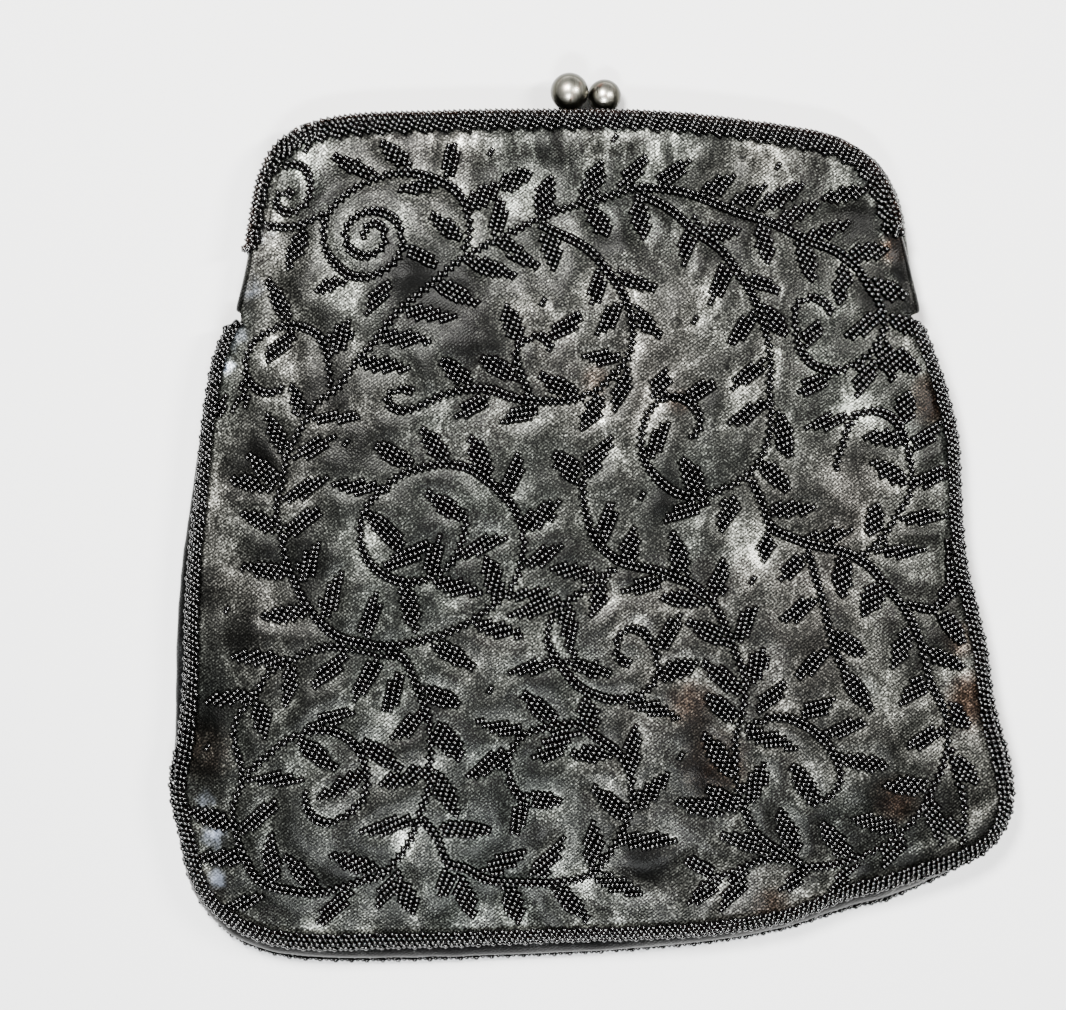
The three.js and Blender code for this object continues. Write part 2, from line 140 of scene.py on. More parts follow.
# Stems of the scrolling vine, as points of the photo.
stems = {
    "main": [
        (304, 411), (320, 400), (335, 390), (345, 378), (358, 359), (375, 341), (384, 327),
        (400, 308), (420, 293), (440, 276), (458, 261), (471, 253), (487, 244), (500, 238),
        (517, 229), (535, 220), (556, 211), (578, 204), (600, 199), (618, 193), (636, 187),
        (655, 188), (675, 190), (692, 194), (708, 200), (724, 207), (742, 214), (762, 219),
        (780, 226), (797, 235), (815, 243), (833, 249), (847, 258), (858, 268), (868, 285),
        (878, 299), (884, 312), (886, 326), (880, 340), (873, 352),
    ],
    "upperSpiral": [
        (463, 254), (470, 235), (469, 215), (462, 197), (450, 185), (434, 178), (415, 173),
        (400, 172), (385, 175), (370, 181), (357, 186), (345, 195), (334, 205), (326, 216),
        (323, 228), (323, 243), (328, 255), (338, 267), (350, 276), (364, 278), (378, 274),
        (392, 265), (400, 254), (403, 240), (399, 223), (389, 214), (376, 210), (362, 212),
        (350, 220), (344, 232), (346, 245), (355, 254), (367, 257), (379, 251), (386, 240),
        (384, 228), (376, 222), (367, 225), (363, 236),
    ],
    "upperLink": [
        (258, 224), (270, 226), (285, 228), (300, 226), (312, 220), (323, 215),
    ],
    "cornerSpiral": [
        (266, 176), (275, 169), (286, 165), (298, 164), (307, 170), (311, 182), (310, 196),
        (304, 207), (294, 213), (283, 212), (276, 205), (276, 197), (283, 191), (292, 193),
        (292, 200),
    ],
    "leftLoop": [
        (330, 391), (330, 378), (328, 362), (325, 346), (318, 334), (307, 328), (293, 325),
        (282, 326), (271, 330), (259, 337), (250, 348), (245, 362), (246, 376), (253, 387),
        (266, 394), (279, 391), (287, 384),
    ],
    "leftSpiral": [
        (314, 408), (306, 420), (298, 432), (291, 446), (287, 458), (283, 472), (282, 486),
        (277, 498), (276, 512), (279, 526), (283, 542), (284, 558), (290, 573), (297, 588),
        (303, 601), (311, 612), (322, 625), (333, 634), (347, 640), (362, 643), (380, 647),
        (400, 645), (418, 641), (436, 637), (452, 631), (468, 623), (482, 614), (495, 604),
        (506, 594), (515, 582), (520, 568), (523, 552), (524, 536), (521, 524), (516, 512),
        (509, 501), (498, 489), (486, 479), (474, 470), (459, 465), (443, 463), (428, 466),
        (413, 470), (400, 474), (389, 484), (377, 494), (367, 505), (361, 520), (359, 536),
        (362, 550), (369, 563), (380, 573), (394, 580), (409, 583), (424, 580), (437, 575),
        (448, 567), (457, 556), (461, 544), (465, 530), (466, 518),
    ],
    "lowerLoop": [
        (400, 656), (376, 653), (355, 648), (335, 646), (318, 648), (302, 655), (285, 664),
        (270, 671), (262, 682), (258, 693), (249, 703), (240, 712), (235, 723), (233, 736),
        (236, 750), (241, 764), (243, 778), (239, 791), (233, 803), (233, 818), (236, 834),
        (240, 848), (247, 864), (255, 878), (267, 886), (284, 890), (302, 893), (318, 894),
        (334, 890), (352, 884), (370, 879), (383, 877), (392, 866), (403, 852), (411, 838),
        (418, 822), (422, 807), (428, 793), (430, 778), (430, 760), (431, 742), (430, 724),
        (426, 709), (419, 694), (414, 680), (410, 668), (402, 657),
    ],
    "innerCurl": [
        (246, 775), (257, 764), (268, 755), (278, 745), (290, 738), (303, 732), (318, 730),
        (334, 731), (348, 738), (358, 749), (364, 762), (367, 776), (366, 790), (361, 803),
        (350, 813), (338, 821), (325, 824), (313, 818), (306, 808), (305, 793),
    ],
    "bottomMiddle": [
        (424, 822), (433, 832), (440, 844), (443, 856), (449, 866), (463, 867), (474, 873),
        (484, 880), (500, 882), (518, 882), (536, 883), (552, 884), (570, 881), (588, 877),
        (600, 866), (610, 853), (618, 840), (625, 827), (631, 812), (633, 796), (632, 781),
        (628, 768), (622, 757), (612, 747), (600, 740), (590, 732), (580, 723), (566, 724),
        (550, 727), (534, 730), (520, 737), (512, 748), (508, 760), (507, 773), (511, 785),
        (518, 795), (524, 803),
    ],
    "centreLong": [
        (583, 478), (583, 492), (584, 506), (587, 520), (592, 535), (600, 546), (609, 554),
        (620, 562), (634, 566), (648, 568), (662, 572), (676, 578), (690, 583), (702, 591),
        (712, 602), (720, 614), (726, 628), (731, 641), (736, 654), (742, 667), (745, 682),
        (745, 696), (743, 709), (740, 721), (736, 735), (735, 750), (736, 765), (737, 780),
        (739, 795), (743, 808), (749, 821), (755, 833), (765, 843), (778, 851), (791, 859),
        (803, 866),
    ],
    "centreBranch": [
        (612, 570), (600, 580), (588, 588), (574, 597), (562, 606), (553, 615), (548, 626),
        (547, 641), (552, 653), (558, 663), (567, 673), (574, 683), (585, 691), (600, 697),
        (616, 701), (632, 698), (645, 692), (655, 682), (659, 670), (657, 657), (653, 645),
        (646, 634), (635, 628), (624, 630), (616, 641), (616, 653), (622, 662), (633, 664),
    ],
    "rightLoop": [
        (638, 193), (650, 199), (662, 204), (673, 211), (685, 222), (696, 232), (709, 240),
        (722, 250), (731, 262), (740, 275), (750, 290), (757, 304), (763, 320), (767, 336),
        (770, 352), (771, 370), (769, 390), (771, 408), (771, 428), (767, 444), (759, 462),
        (748, 475), (733, 485), (716, 492), (700, 496), (685, 496), (670, 490), (657, 478),
        (647, 466), (641, 452), (641, 436), (644, 421), (650, 409), (659, 400), (670, 396),
        (683, 398), (693, 405), (700, 416), (701, 428), (692, 437),
    ],
    "rightBranch": [
        (750, 478), (757, 491), (763, 504), (766, 518), (773, 530), (788, 536), (803, 542),
        (818, 546), (833, 549), (847, 552), (859, 559), (871, 567), (881, 579), (891, 592),
        (901, 603), (909, 615), (916, 629), (921, 644), (924, 660), (928, 674), (933, 688),
        (940, 701), (946, 714), (948, 728), (948, 742), (946, 756), (942, 769), (936, 782),
        (930, 794), (922, 808), (912, 821), (902, 832), (890, 842), (876, 850), (862, 856),
        (848, 862), (832, 865), (816, 867), (803, 867),
    ],
    "rightCurl": [
        (858, 558), (868, 551), (878, 543), (887, 532), (895, 518), (904, 505), (911, 492),
        (912, 478), (911, 464), (908, 450), (905, 437), (899, 425), (890, 415), (878, 411),
        (866, 411), (854, 416), (847, 427), (844, 440), (839, 454), (836, 468),
    ],
    "rightStem": [
        (806, 546), (811, 560), (815, 575), (820, 590), (824, 605), (827, 621), (831, 636),
        (835, 649), (840, 662), (847, 672),
    ],
    "upperRightCurl": [
        (873, 352), (863, 360), (850, 367), (837, 371), (822, 369), (809, 362), (800, 350),
        (797, 336), (795, 321), (795, 307), (804, 298), (816, 297), (827, 304), (832, 313),
    ],
    "middleStem": [
        (538, 222), (551, 230), (565, 236), (579, 243), (592, 252), (602, 264), (612, 277),
        (621, 290), (628, 304), (632, 320), (633, 336), (631, 351), (624, 364), (613, 375),
        (600, 388), (586, 396), (570, 400), (553, 401), (536, 401), (519, 399), (505, 395),
        (492, 389), (476, 388), (461, 390), (446, 394), (431, 400), (418, 407), (405, 411),
        (393, 409), (386, 400), (390, 392), (402, 388), (414, 392),
    ],
    "hook": [
        (530, 398), (524, 382), (518, 367), (515, 353), (520, 343), (529, 337), (539, 335),
        (548, 340), (552, 353),
    ],
    "lowerRightCurl": [
        (744, 730), (757, 722), (770, 717), (785, 717), (800, 722), (814, 731), (825, 741),
        (833, 752), (839, 766), (841, 780), (836, 792), (826, 799), (813, 804),
    ],
    "bottomSprig": [
        (803, 866), (788, 860), (772, 858), (756, 862), (741, 868), (727, 874), (713, 879),
        (701, 886),
    ],
    "rightSprig": [
        (903, 604), (915, 606), (928, 609), (940, 610),
    ],
    "lowerRightStem": [
        (950, 745), (953, 760), (957, 775), (961, 790), (964, 805), (964, 822), (963, 838),
        (963, 850),
    ],
}

# Leaves: foot x and y, tip x and y and width in the photo's pixels, lean of the rows in degrees.
leaves = [
    (376, 176, 332, 156, 14, 55), (305, 231, 287, 270, 16, 35), (292, 326, 267, 278, 15, 55),
    (346, 279, 311, 292, 13, 50), (390, 281, 365, 313, 15, 38), (410, 168, 381, 141, 15, 75),
    (449, 177, 453, 141, 18, 75), (438, 183, 399, 190, 13, 75), (462, 240, 430, 213, 14, 72),
    (403, 246, 438, 266, 14, 70), (468, 207, 498, 184, 19, 72), (498, 187, 532, 172, 18, 65),
    (497, 239, 501, 196, 14, 75), (540, 217, 550, 177, 19, 42), (495, 240, 524, 251, 11, 60),
    (505, 249, 539, 266, 13, 50), (467, 260, 516, 276, 15, 50), (433, 282, 478, 304, 15, 45),
    (402, 310, 456, 318, 14, 20), (545, 222, 556, 270, 17, 70), (583, 203, 602, 162, 18, 36),
    (589, 207, 611, 238, 17, 65), (600, 270, 594, 307, 14, 72), (606, 273, 660, 289, 14, 65),
    (618, 190, 650, 154, 14, 40), (656, 187, 690, 160, 16, 35), (700, 197, 739, 175, 16, 55),
    (733, 206, 769, 185, 16, 55), (757, 210, 804, 183, 17, 55), (636, 196, 645, 241, 17, 65),
    (694, 214, 684, 266, 17, 65), (699, 232, 740, 231, 17, 65), (760, 220, 769, 264, 16, 66),
    (800, 236, 813, 281, 17, 58), (731, 260, 711, 304, 16, 66), (742, 277, 782, 291, 14, 65),
    (775, 222, 820, 204, 14, 55), (803, 242, 849, 222, 14, 50), (845, 255, 890, 249, 17, 42),
    (849, 260, 838, 303, 17, 48), (863, 282, 911, 297, 17, 42), (867, 190, 821, 199, 14, 45),
    (884, 314, 846, 337, 16, 42), (886, 316, 925, 334, 15, 40), (293, 333, 265, 361, 17, 32),
    (328, 354, 353, 319, 20, 76), (244, 378, 245, 409, 9, 70), (246, 386, 232, 412, 9, 60),
    (211, 420, 227, 396, 12, 60), (303, 420, 292, 384, 14, 70), (313, 420, 363, 414, 11, 16),
    (294, 458, 335, 436, 14, 30), (289, 458, 268, 415, 16, 74), (281, 486, 248, 455, 16, 42),
    (280, 488, 225, 478, 15, 40), (282, 501, 328, 477, 14, 38), (388, 491, 332, 484, 15, 18),
    (281, 531, 240, 512, 16, 36), (283, 534, 322, 509, 17, 40), (380, 337, 431, 341, 15, 20),
    (360, 363, 409, 368, 15, 22), (490, 396, 454, 417, 14, 30), (472, 387, 439, 357, 16, 65),
    (517, 377, 477, 356, 16, 65), (521, 343, 504, 304, 17, 72), (547, 340, 583, 313, 17, 28),
    (580, 399, 539, 374, 16, 60), (541, 404, 501, 424, 17, 8), (447, 462, 421, 427, 17, 65),
    (419, 470, 373, 443, 17, 65), (489, 477, 470, 435, 18, 60), (508, 496, 519, 454, 18, 65),
    (583, 484, 552, 449, 19, 60), (523, 529, 560, 501, 19, 55), (466, 520, 427, 493, 15, 65),
    (601, 397, 582, 433, 18, 38), (582, 477, 612, 433, 18, 38), (622, 304, 597, 333, 16, 66),
    (624, 304, 661, 336, 17, 65), (627, 361, 580, 354, 15, 12), (627, 368, 615, 413, 16, 54),
    (655, 398, 666, 366, 17, 40), (683, 399, 717, 381, 15, 35), (646, 458, 669, 422, 18, 75),
    (702, 495, 681, 456, 18, 50), (757, 312, 729, 345, 17, 60), (759, 306, 789, 336, 18, 55),
    (767, 362, 728, 388, 14, 40), (768, 402, 728, 425, 14, 42), (773, 409, 791, 459, 19, 22),
    (761, 462, 791, 492, 18, 36), (763, 510, 817, 508, 15, 32), (708, 500, 663, 520, 16, 14),
    (734, 496, 722, 531, 18, 50), (603, 543, 612, 499, 17, 70), (800, 348, 822, 322, 18, 38),
    (832, 373, 797, 395, 15, 25), (872, 360, 857, 398, 18, 45), (883, 342, 893, 380, 19, 40),
    (889, 348, 921, 373, 16, 40), (856, 415, 802, 427, 14, 28), (909, 440, 863, 436, 15, 30),
    (905, 426, 907, 389, 20, 35), (908, 452, 941, 424, 16, 28), (909, 483, 871, 461, 16, 26),
    (912, 485, 956, 467, 15, 26), (873, 537, 876, 501, 18, 30), (900, 518, 948, 516, 14, 18),
    (296, 575, 238, 566, 14, 55), (300, 581, 320, 542, 18, 78), (310, 611, 259, 617, 15, 55),
    (322, 618, 343, 573, 18, 80), (364, 640, 377, 592, 18, 72), (285, 660, 229, 656, 15, 24),
    (258, 694, 201, 701, 13, 40), (258, 702, 268, 741, 18, 76), (292, 664, 287, 711, 15, 60),
    (346, 654, 311, 688, 16, 35), (379, 660, 352, 701, 18, 60), (308, 728, 357, 710, 13, 15),
    (299, 741, 336, 769, 15, 60), (404, 549, 366, 512, 18, 52), (428, 545, 381, 570, 16, 22),
    (428, 578, 440, 533, 14, 75), (433, 582, 481, 593, 15, 14), (404, 584, 416, 631, 17, 60),
    (458, 556, 506, 536, 14, 34), (498, 600, 488, 556, 18, 76), (522, 566, 563, 547, 15, 42),
    (602, 577, 549, 567, 14, 20), (503, 598, 553, 590, 11, 28), (568, 600, 507, 615, 17, 28),
    (476, 625, 523, 635, 15, 14), (433, 642, 474, 668, 16, 60), (566, 603, 573, 657, 16, 76),
    (560, 663, 507, 672, 14, 25), (562, 662, 612, 674, 14, 62), (402, 674, 384, 713, 17, 76),
    (420, 690, 464, 706, 15, 60), (427, 714, 390, 738, 17, 50), (434, 723, 463, 762, 20, 62),
    (560, 727, 521, 692, 15, 60), (532, 735, 477, 722, 14, 8), (581, 728, 540, 747, 13, 16),
    (591, 735, 586, 697, 20, 65), (628, 562, 632, 526, 18, 56), (684, 580, 673, 533, 18, 60),
    (714, 600, 723, 557, 18, 60), (668, 578, 623, 591, 14, 15), (604, 578, 593, 620, 16, 50),
    (706, 600, 657, 597, 16, 60), (656, 652, 682, 613, 17, 60), (731, 644, 686, 620, 15, 62),
    (736, 642, 754, 606, 18, 76), (656, 676, 701, 663, 17, 55), (741, 693, 702, 662, 16, 60),
    (744, 683, 767, 649, 20, 82), (758, 712, 786, 681, 16, 36), (737, 720, 704, 694, 17, 60),
    (627, 701, 680, 717, 15, 5), (766, 532, 765, 563, 16, 60), (804, 555, 780, 581, 16, 46),
    (816, 600, 780, 622, 15, 42), (745, 732, 797, 748, 15, 6), (828, 650, 795, 679, 15, 50),
    (800, 720, 834, 697, 17, 15), (803, 543, 856, 531, 16, 30), (872, 549, 931, 552, 13, 16),
    (843, 552, 843, 601, 17, 30), (881, 576, 864, 619, 20, 26), (831, 632, 867, 656, 15, 46),
    (845, 674, 871, 710, 18, 38), (914, 622, 892, 668, 17, 36), (927, 678, 901, 705, 19, 22),
    (938, 610, 959, 573, 15, 46), (950, 580, 949, 534, 9, 10), (940, 612, 966, 645, 17, 25),
    (922, 649, 968, 669, 15, 34), (940, 703, 971, 727, 19, 60), (825, 735, 867, 720, 16, 30),
    (943, 729, 905, 748, 18, 32), (245, 777, 308, 782, 13, 12), (365, 772, 319, 799, 15, 55),
    (240, 828, 182, 808, 18, 35), (246, 857, 198, 858, 16, 30), (240, 832, 279, 800, 17, 46),
    (273, 890, 270, 833, 16, 35), (319, 891, 283, 854, 16, 52), (388, 877, 329, 854, 16, 30),
    (262, 897, 226, 908, 13, 35), (351, 890, 315, 927, 16, 40), (415, 821, 360, 832, 15, 22),
    (362, 741, 402, 771, 16, 60), (429, 772, 377, 783, 17, 46), (434, 772, 458, 817, 17, 72),
    (437, 829, 493, 830, 17, 66), (450, 869, 440, 899, 15, 66), (456, 876, 474, 918, 18, 62),
    (482, 875, 529, 846, 17, 12), (397, 879, 416, 915, 18, 74), (398, 870, 378, 909, 17, 45),
    (507, 884, 520, 926, 18, 68), (553, 885, 589, 921, 16, 60), (531, 882, 564, 837, 18, 42),
    (597, 874, 591, 821, 19, 66), (512, 751, 464, 777, 17, 46), (525, 801, 513, 836, 15, 82),
    (522, 797, 562, 803, 15, 66), (566, 748, 529, 758, 12, 20), (620, 751, 566, 755, 16, 56),
    (629, 772, 634, 722, 18, 66), (629, 820, 593, 787, 17, 66), (633, 810, 669, 773, 16, 74),
    (618, 840, 681, 843, 16, 14), (592, 875, 643, 894, 16, 3), (737, 776, 703, 735, 19, 70),
    (744, 806, 766, 762, 20, 84), (740, 809, 704, 787, 16, 66), (726, 813, 675, 801, 15, 60),
    (786, 852, 721, 836, 17, 66), (797, 859, 778, 808, 19, 66), (718, 878, 683, 857, 14, 62),
    (718, 880, 689, 905, 15, 38), (745, 872, 720, 913, 18, 42), (806, 870, 779, 893, 12, 36),
    (816, 805, 791, 762, 18, 70), (838, 758, 891, 768, 15, 42), (933, 786, 882, 785, 17, 46),
    (903, 832, 848, 815, 16, 14), (851, 862, 819, 821, 18, 56), (902, 833, 884, 869, 17, 46),
    (856, 864, 827, 894, 12, 40), (927, 796, 942, 843, 16, 52), (952, 757, 977, 782, 18, 60),
    (963, 835, 938, 815, 14, 50),
]

# Beads sewn on alone, as points of the photo.
singles = [
    (491, 152), (615, 138), (778, 166), (543, 302), (695, 320), (346, 443), (642, 496), (753, 580),
    (227, 610), (490, 690), (208, 747), (681, 756), (307, 149),
]

# Tints in the satin, by kind: x, y and reach in the photo's pixels, strength. The blue marks are a
# painted bluish sheen, the shadow marks painted shade and the pale marks painted highlights.
tints = {
    "brown": [
        (895, 800, 34, 0.8), (715, 765, 48, 0.7), (935, 400, 36, 0.9), (888, 190, 22, 0.6),
        (892, 250, 24, 0.6), (205, 750, 45, 0.5), (690, 705, 34, 0.7), (595, 380, 22, 0.5),
        (975, 700, 40, 0.9), (770, 905, 26, 0.6), (680, 402, 18, 0.6), (960, 640, 26, 0.6),
        (888, 210, 14, 0.8), (898, 250, 16, 0.8),
    ],
    # Painted sheen: bluish highlights.
    "blueSheen": [
        (205, 799, 17, 0.7), (214, 837, 21, 0.9), (217, 878, 16, 0.8), (235, 336, 20, 0.6),
        (228, 365, 18, 0.6), (268, 230, 18, 0.5), (252, 290, 22, 0.6),
    ],
    # Painted shade: darker satin where shade falls.
    "shadow": [
        (400, 150, 30, 0.5), (556, 150, 28, 0.6), (400, 262, 48, 0.7), (470, 330, 40, 0.6),
        (610, 240, 26, 0.6), (862, 225, 34, 0.9), (885, 300, 40, 0.9), (892, 185, 24, 0.9),
        (903, 262, 22, 0.8), (205, 590, 34, 0.8), (203, 715, 40, 0.9), (640, 858, 36, 0.9),
        (260, 455, 26, 0.6), (235, 480, 30, 0.5), (715, 395, 22, 0.5), (690, 780, 40, 0.6),
        (330, 880, 26, 0.4), (670, 500, 26, 0.5), (355, 445, 45, 0.8), (330, 400, 40, 0.5),
        (435, 295, 50, 0.8), (400, 330, 40, 0.5), (480, 370, 45, 0.5), (300, 560, 40, 0.5),
        (270, 450, 40, 0.5), (240, 640, 45, 0.5), (885, 200, 12, 0.9), (891, 222, 13, 0.9),
        (897, 245, 14, 0.9), (903, 270, 14, 0.9), (268, 165, 12, 0.8), (262, 200, 12, 0.8),
        (257, 230, 12, 0.8), (868, 868, 13, 1.0), (888, 865, 13, 1.0), (908, 862, 13, 1.0),
        (928, 858, 13, 1.0), (948, 853, 13, 1.0), (966, 845, 13, 1.0), (982, 834, 13, 1.0),
        (996, 820, 13, 1.0),
    ],
    # Painted highlights: paler satin where light catches it.
    "pale": [
        (320, 150, 30, 0.7), (522, 200, 30, 0.6), (645, 170, 34, 0.6), (345, 300, 30, 0.5),
        (850, 412, 38, 0.8), (742, 398, 26, 0.6), (655, 420, 34, 0.5), (760, 550, 44, 0.5),
        (878, 690, 30, 0.6), (370, 560, 36, 0.4), (410, 842, 30, 0.5), (590, 300, 34, 0.4),
        (470, 440, 30, 0.4), (540, 640, 34, 0.4), (815, 360, 26, 0.5), (860, 600, 34, 0.4),
        (560, 810, 30, 0.4), (890, 480, 30, 0.5), (770, 175, 30, 0.5), (872, 203, 9, 0.9),
        (879, 217, 9, 0.9), (884, 232, 8, 0.8), (887, 247, 8, 0.9), (889, 262, 8, 0.9),
        (892, 280, 9, 0.9), (298, 172, 8, 0.7), (283, 205, 8, 0.9), (278, 222, 8, 0.7),
    ],
}


def planePoint(px, py, z=photo["planeHeight"]):
    x = (px - photo["originX"]) / photo["pixelsPerMm"] + photo["shiftX"]
    y = (photo["originY"] - py) / photo["pixelsPerMm"] + photo["shiftY"]
    nearer = (photo["cameraHeight"] - z) / (photo["cameraHeight"] - photo["planeHeight"])
    return (
        photo["cameraX"] + (x - photo["cameraX"]) * nearer,
        photo["cameraY"] + (y - photo["cameraY"]) * nearer,
    )


def treeOf(*names):
    gathered = bmesh.new()
    for name in names:
        gathered.from_mesh(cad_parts[name].data)
    tree = BVHTree.FromBMesh(gathered)
    gathered.free()
    return tree


def castAt(tree, x, y, fromAbove=True):
    start = Vector((x * mm, y * mm, castFrom if fromAbove else -castFrom))
    hit = tree.ray_cast(start, -up if fromAbove else up)[0]
    return None if hit is None else hit.z / mm


class HeightField:
    # Heights of a soft surface over a grid of the table, in mm.
    low = (-122.0, -128.0)
    counts = (245, 255)
    fillPasses = 40
    slopeStep = 0.8

    def __init__(self, tree, fromAbove, passes):
        xs = self.low[0] + np.arange(self.counts[0])
        ys = self.low[1] + np.arange(self.counts[1])
        self.z = np.full(self.counts, np.nan)
        for i, x in enumerate(xs):
            for j, y in enumerate(ys):
                hit = castAt(tree, x, y, fromAbove)
                if hit is not None:
                    self.z[i, j] = hit
        known = ~np.isnan(self.z)
        for _ in range(self.fillPasses):
            if known.all():
                break
            filled = np.where(known, self.z, 0)
            weight = known.astype(float)
            total = np.zeros_like(filled)
            count = np.zeros_like(weight)
            for di, dj in ((1, 0), (-1, 0), (0, 1), (0, -1)):
                total += np.roll(filled, (di, dj), (0, 1))
                count += np.roll(weight, (di, dj), (0, 1))
            grow = ~known & (count > 0)
            self.z[grow] = (total / np.maximum(count, 1))[grow]
            known |= grow
        self.z[~known] = 0
        for _ in range(passes):
            self.smooth()

    def smooth(self):
        edge = np.pad(self.z, 1, mode="edge")
        ring = edge[:-2, 1:-1] + edge[2:, 1:-1] + edge[1:-1, :-2] + edge[1:-1, 2:]
        self.z = 0.5 * self.z + 0.125 * ring

    def at(self, x, y):
        u = np.clip(np.asarray(x, float) - self.low[0], 0, self.counts[0] - 1.001)
        v = np.clip(np.asarray(y, float) - self.low[1], 0, self.counts[1] - 1.001)
        i, j = u.astype(int), v.astype(int)
        fu, fv = u - i, v - j
        z = self.z
        return (
            z[i, j] * (1 - fu) * (1 - fv) + z[i + 1, j] * fu * (1 - fv)
            + z[i, j + 1] * (1 - fu) * fv + z[i + 1, j + 1] * fu * fv
        )

    def slope(self, x, y):
        step = self.slopeStep
        return (
            float(self.at(x + step, y) - self.at(x - step, y)) / (2 * step),
            float(self.at(x, y + step) - self.at(x, y - step)) / (2 * step),
        )


def onSurface(field, px, py):
    z = photo["planeHeight"]
    for _ in range(3):
        x, y = planePoint(px, py, z)
        z = float(field.at(x, y))
    return x, y


def resample(points, step):
    points = np.asarray(points, float)
    steps = np.diff(points, axis=0)
    lengths = np.hypot(steps[:, 0], steps[:, 1])
    along = np.concatenate([[0], np.cumsum(lengths)])
    count = max(int(round(along[-1] / step)), 1)
    spots = np.linspace(0, along[-1], count + 1)
    columns = [np.interp(spots, along, points[:, k]) for k in range(points.shape[1])]
    return np.stack(columns, axis=1)


def rounded(points, passes=2):
    # Corner cutting, which keeps both ends.
    points = [np.asarray(p, float) for p in points]
    for _ in range(passes):
        cut = [points[0]]
        for a, b in zip(points, points[1:]):
            cut += [0.75 * a + 0.25 * b, 0.25 * a + 0.75 * b]
        points = cut + [points[-1]]
    return np.array(points)


def rowOfBeads(x, y, angle, count, pitch):
    dx, dy = math.cos(angle), math.sin(angle)
    first = -0.5 * (count - 1) * pitch
    offsets = [first + k * pitch for k in range(count)]
    return [(x + dx * offset, y + dy * offset, dx, dy) for offset in offsets]


def slantOf(tangent, lean, least, before=-1.0):
    # Angle from a line to its bead rows: they keep one lean, but stand off the line by the least
    # angle at least, on the side they were on before.
    between = (lean - tangent + math.pi / 2) % math.pi - math.pi / 2
    return between if abs(between) >= least else math.copysign(least, before)


def stemBeads(points, rng):
    path = resample(rounded(points), stemForm["step"])
    lean, least = math.radians(stemForm["lean"]), math.radians(stemForm["leanLeast"])
    places = []
    travelled, wanted, slant = 0.0, 0.0, -1.0
    for a, b in zip(path, path[1:]):
        travelled += stemForm["step"]
        if travelled < wanted:
            continue
        tangent = math.atan2(b[1] - a[1], b[0] - a[0])
        slant = slantOf(tangent, lean, least, slant)
        angle = tangent + slant + rng.uniform(-bead["turnWobble"], bead["turnWobble"])
        places += rowOfBeads(a[0], a[1], angle, stemForm["across"], stemForm["gap"])
        wanted = travelled + stemForm["pitch"] / math.sin(abs(slant)) ** stemForm["tighten"]
    return places


def leafBeads(field, leaf, rng):
    footX, footY, tipX, tipY, width, lean = leaf
    foot = np.array(onSurface(field, footX, footY))
    tip = np.array(onSurface(field, tipX, tipY))
    axis = tip - foot
    length = float(np.hypot(*axis))
    axis /= length
    side = np.array([-axis[1], axis[0]])
    half = 0.5 * width / photo["pixelsPerMm"]
    angle = math.radians(lean)
    row = np.array([math.cos(angle), math.sin(angle)])
    normal = np.array([-row[1], row[0]])

    def inside(point):
        t = float(np.dot(point - foot, axis)) / length
        if t < 0 or t > 1:
            return False
        opening = min(1.0, leafForm["foot"] + leafForm["footSwell"] * t)
        closing = min(1.0, leafForm["tip"] + leafForm["tipSwell"] * (1 - t))
        return abs(float(np.dot(point - foot, side))) <= half * (opening * closing)

    middle = foot + 0.5 * length * axis
    reach = 0.5 * length + half
    rows = int(reach / bead["rowPitch"]) + 1
    places = []
    for k in range(-rows, rows + 1):
        base = middle + normal * (k * bead["rowPitch"])
        spots = [s for s in np.arange(-reach, reach, leafForm["step"]) if inside(base + row * s)]
        if len(spots) < leafForm["leastSteps"]:
            continue
        span = spots[-1] - spots[0]
        count = max(2, int(round(span / bead["pitch"] + 0.5)))
        shift = rng.uniform(-leafForm["shift"], leafForm["shift"])
        centre = base + row * (0.5 * (spots[0] + spots[-1]) + shift)
        turned = angle + rng.uniform(-leafForm["turn"], leafForm["turn"])
        places += rowOfBeads(centre[0], centre[1], turned, count, bead["pitch"])
    return places


def placeTree(places):
    tree = KDTree(len(places))
    for k, place in enumerate(places):
        tree.insert((place[0], place[1], 0), k)
    tree.balance()
    return tree


def thinned(places, kept, gap):
    # Leaves out a bead that would sit on one already sewn.
    tree = placeTree(kept)
    return [p for p in places if not kept or tree.find((p[0], p[1], 0))[2] >= gap]


def baseBead():
    shape = bmesh.new()
    segments, rings = bead["segments"], bead["rings"]
    bmesh.ops.create_uvsphere(shape, u_segments=segments, v_segments=rings, radius=1)
    for vertex in shape.verts:
        # The rings beside the widest one are set out, so that the bead is barrel shaped.
        radial = math.hypot(vertex.co.x, vertex.co.y)
        if 0.1 < radial < 0.99:
            vertex.co.x *= bead["shoulder"] / radial
            vertex.co.y *= bead["shoulder"] / radial
    corners = np.array([v.co[:] for v in shape.verts])
    faces = [[v.index for v in f.verts] for f in shape.faces]
    shape.free()
    return corners, faces


def addLayer(mesh, label, values):
    layer = mesh.attributes.new(label, "FLOAT", "POINT")
    layer.data.foreach_set("value", values)


def addPiece(name, mesh, material):
    obj = bpy.data.objects.new(name, mesh)
    bpy.context.scene.collection.objects.link(obj)
    mesh.polygons.foreach_set("use_smooth", [True] * len(mesh.polygons))
    mesh.materials.append(material)
    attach(obj, "root")
    return obj


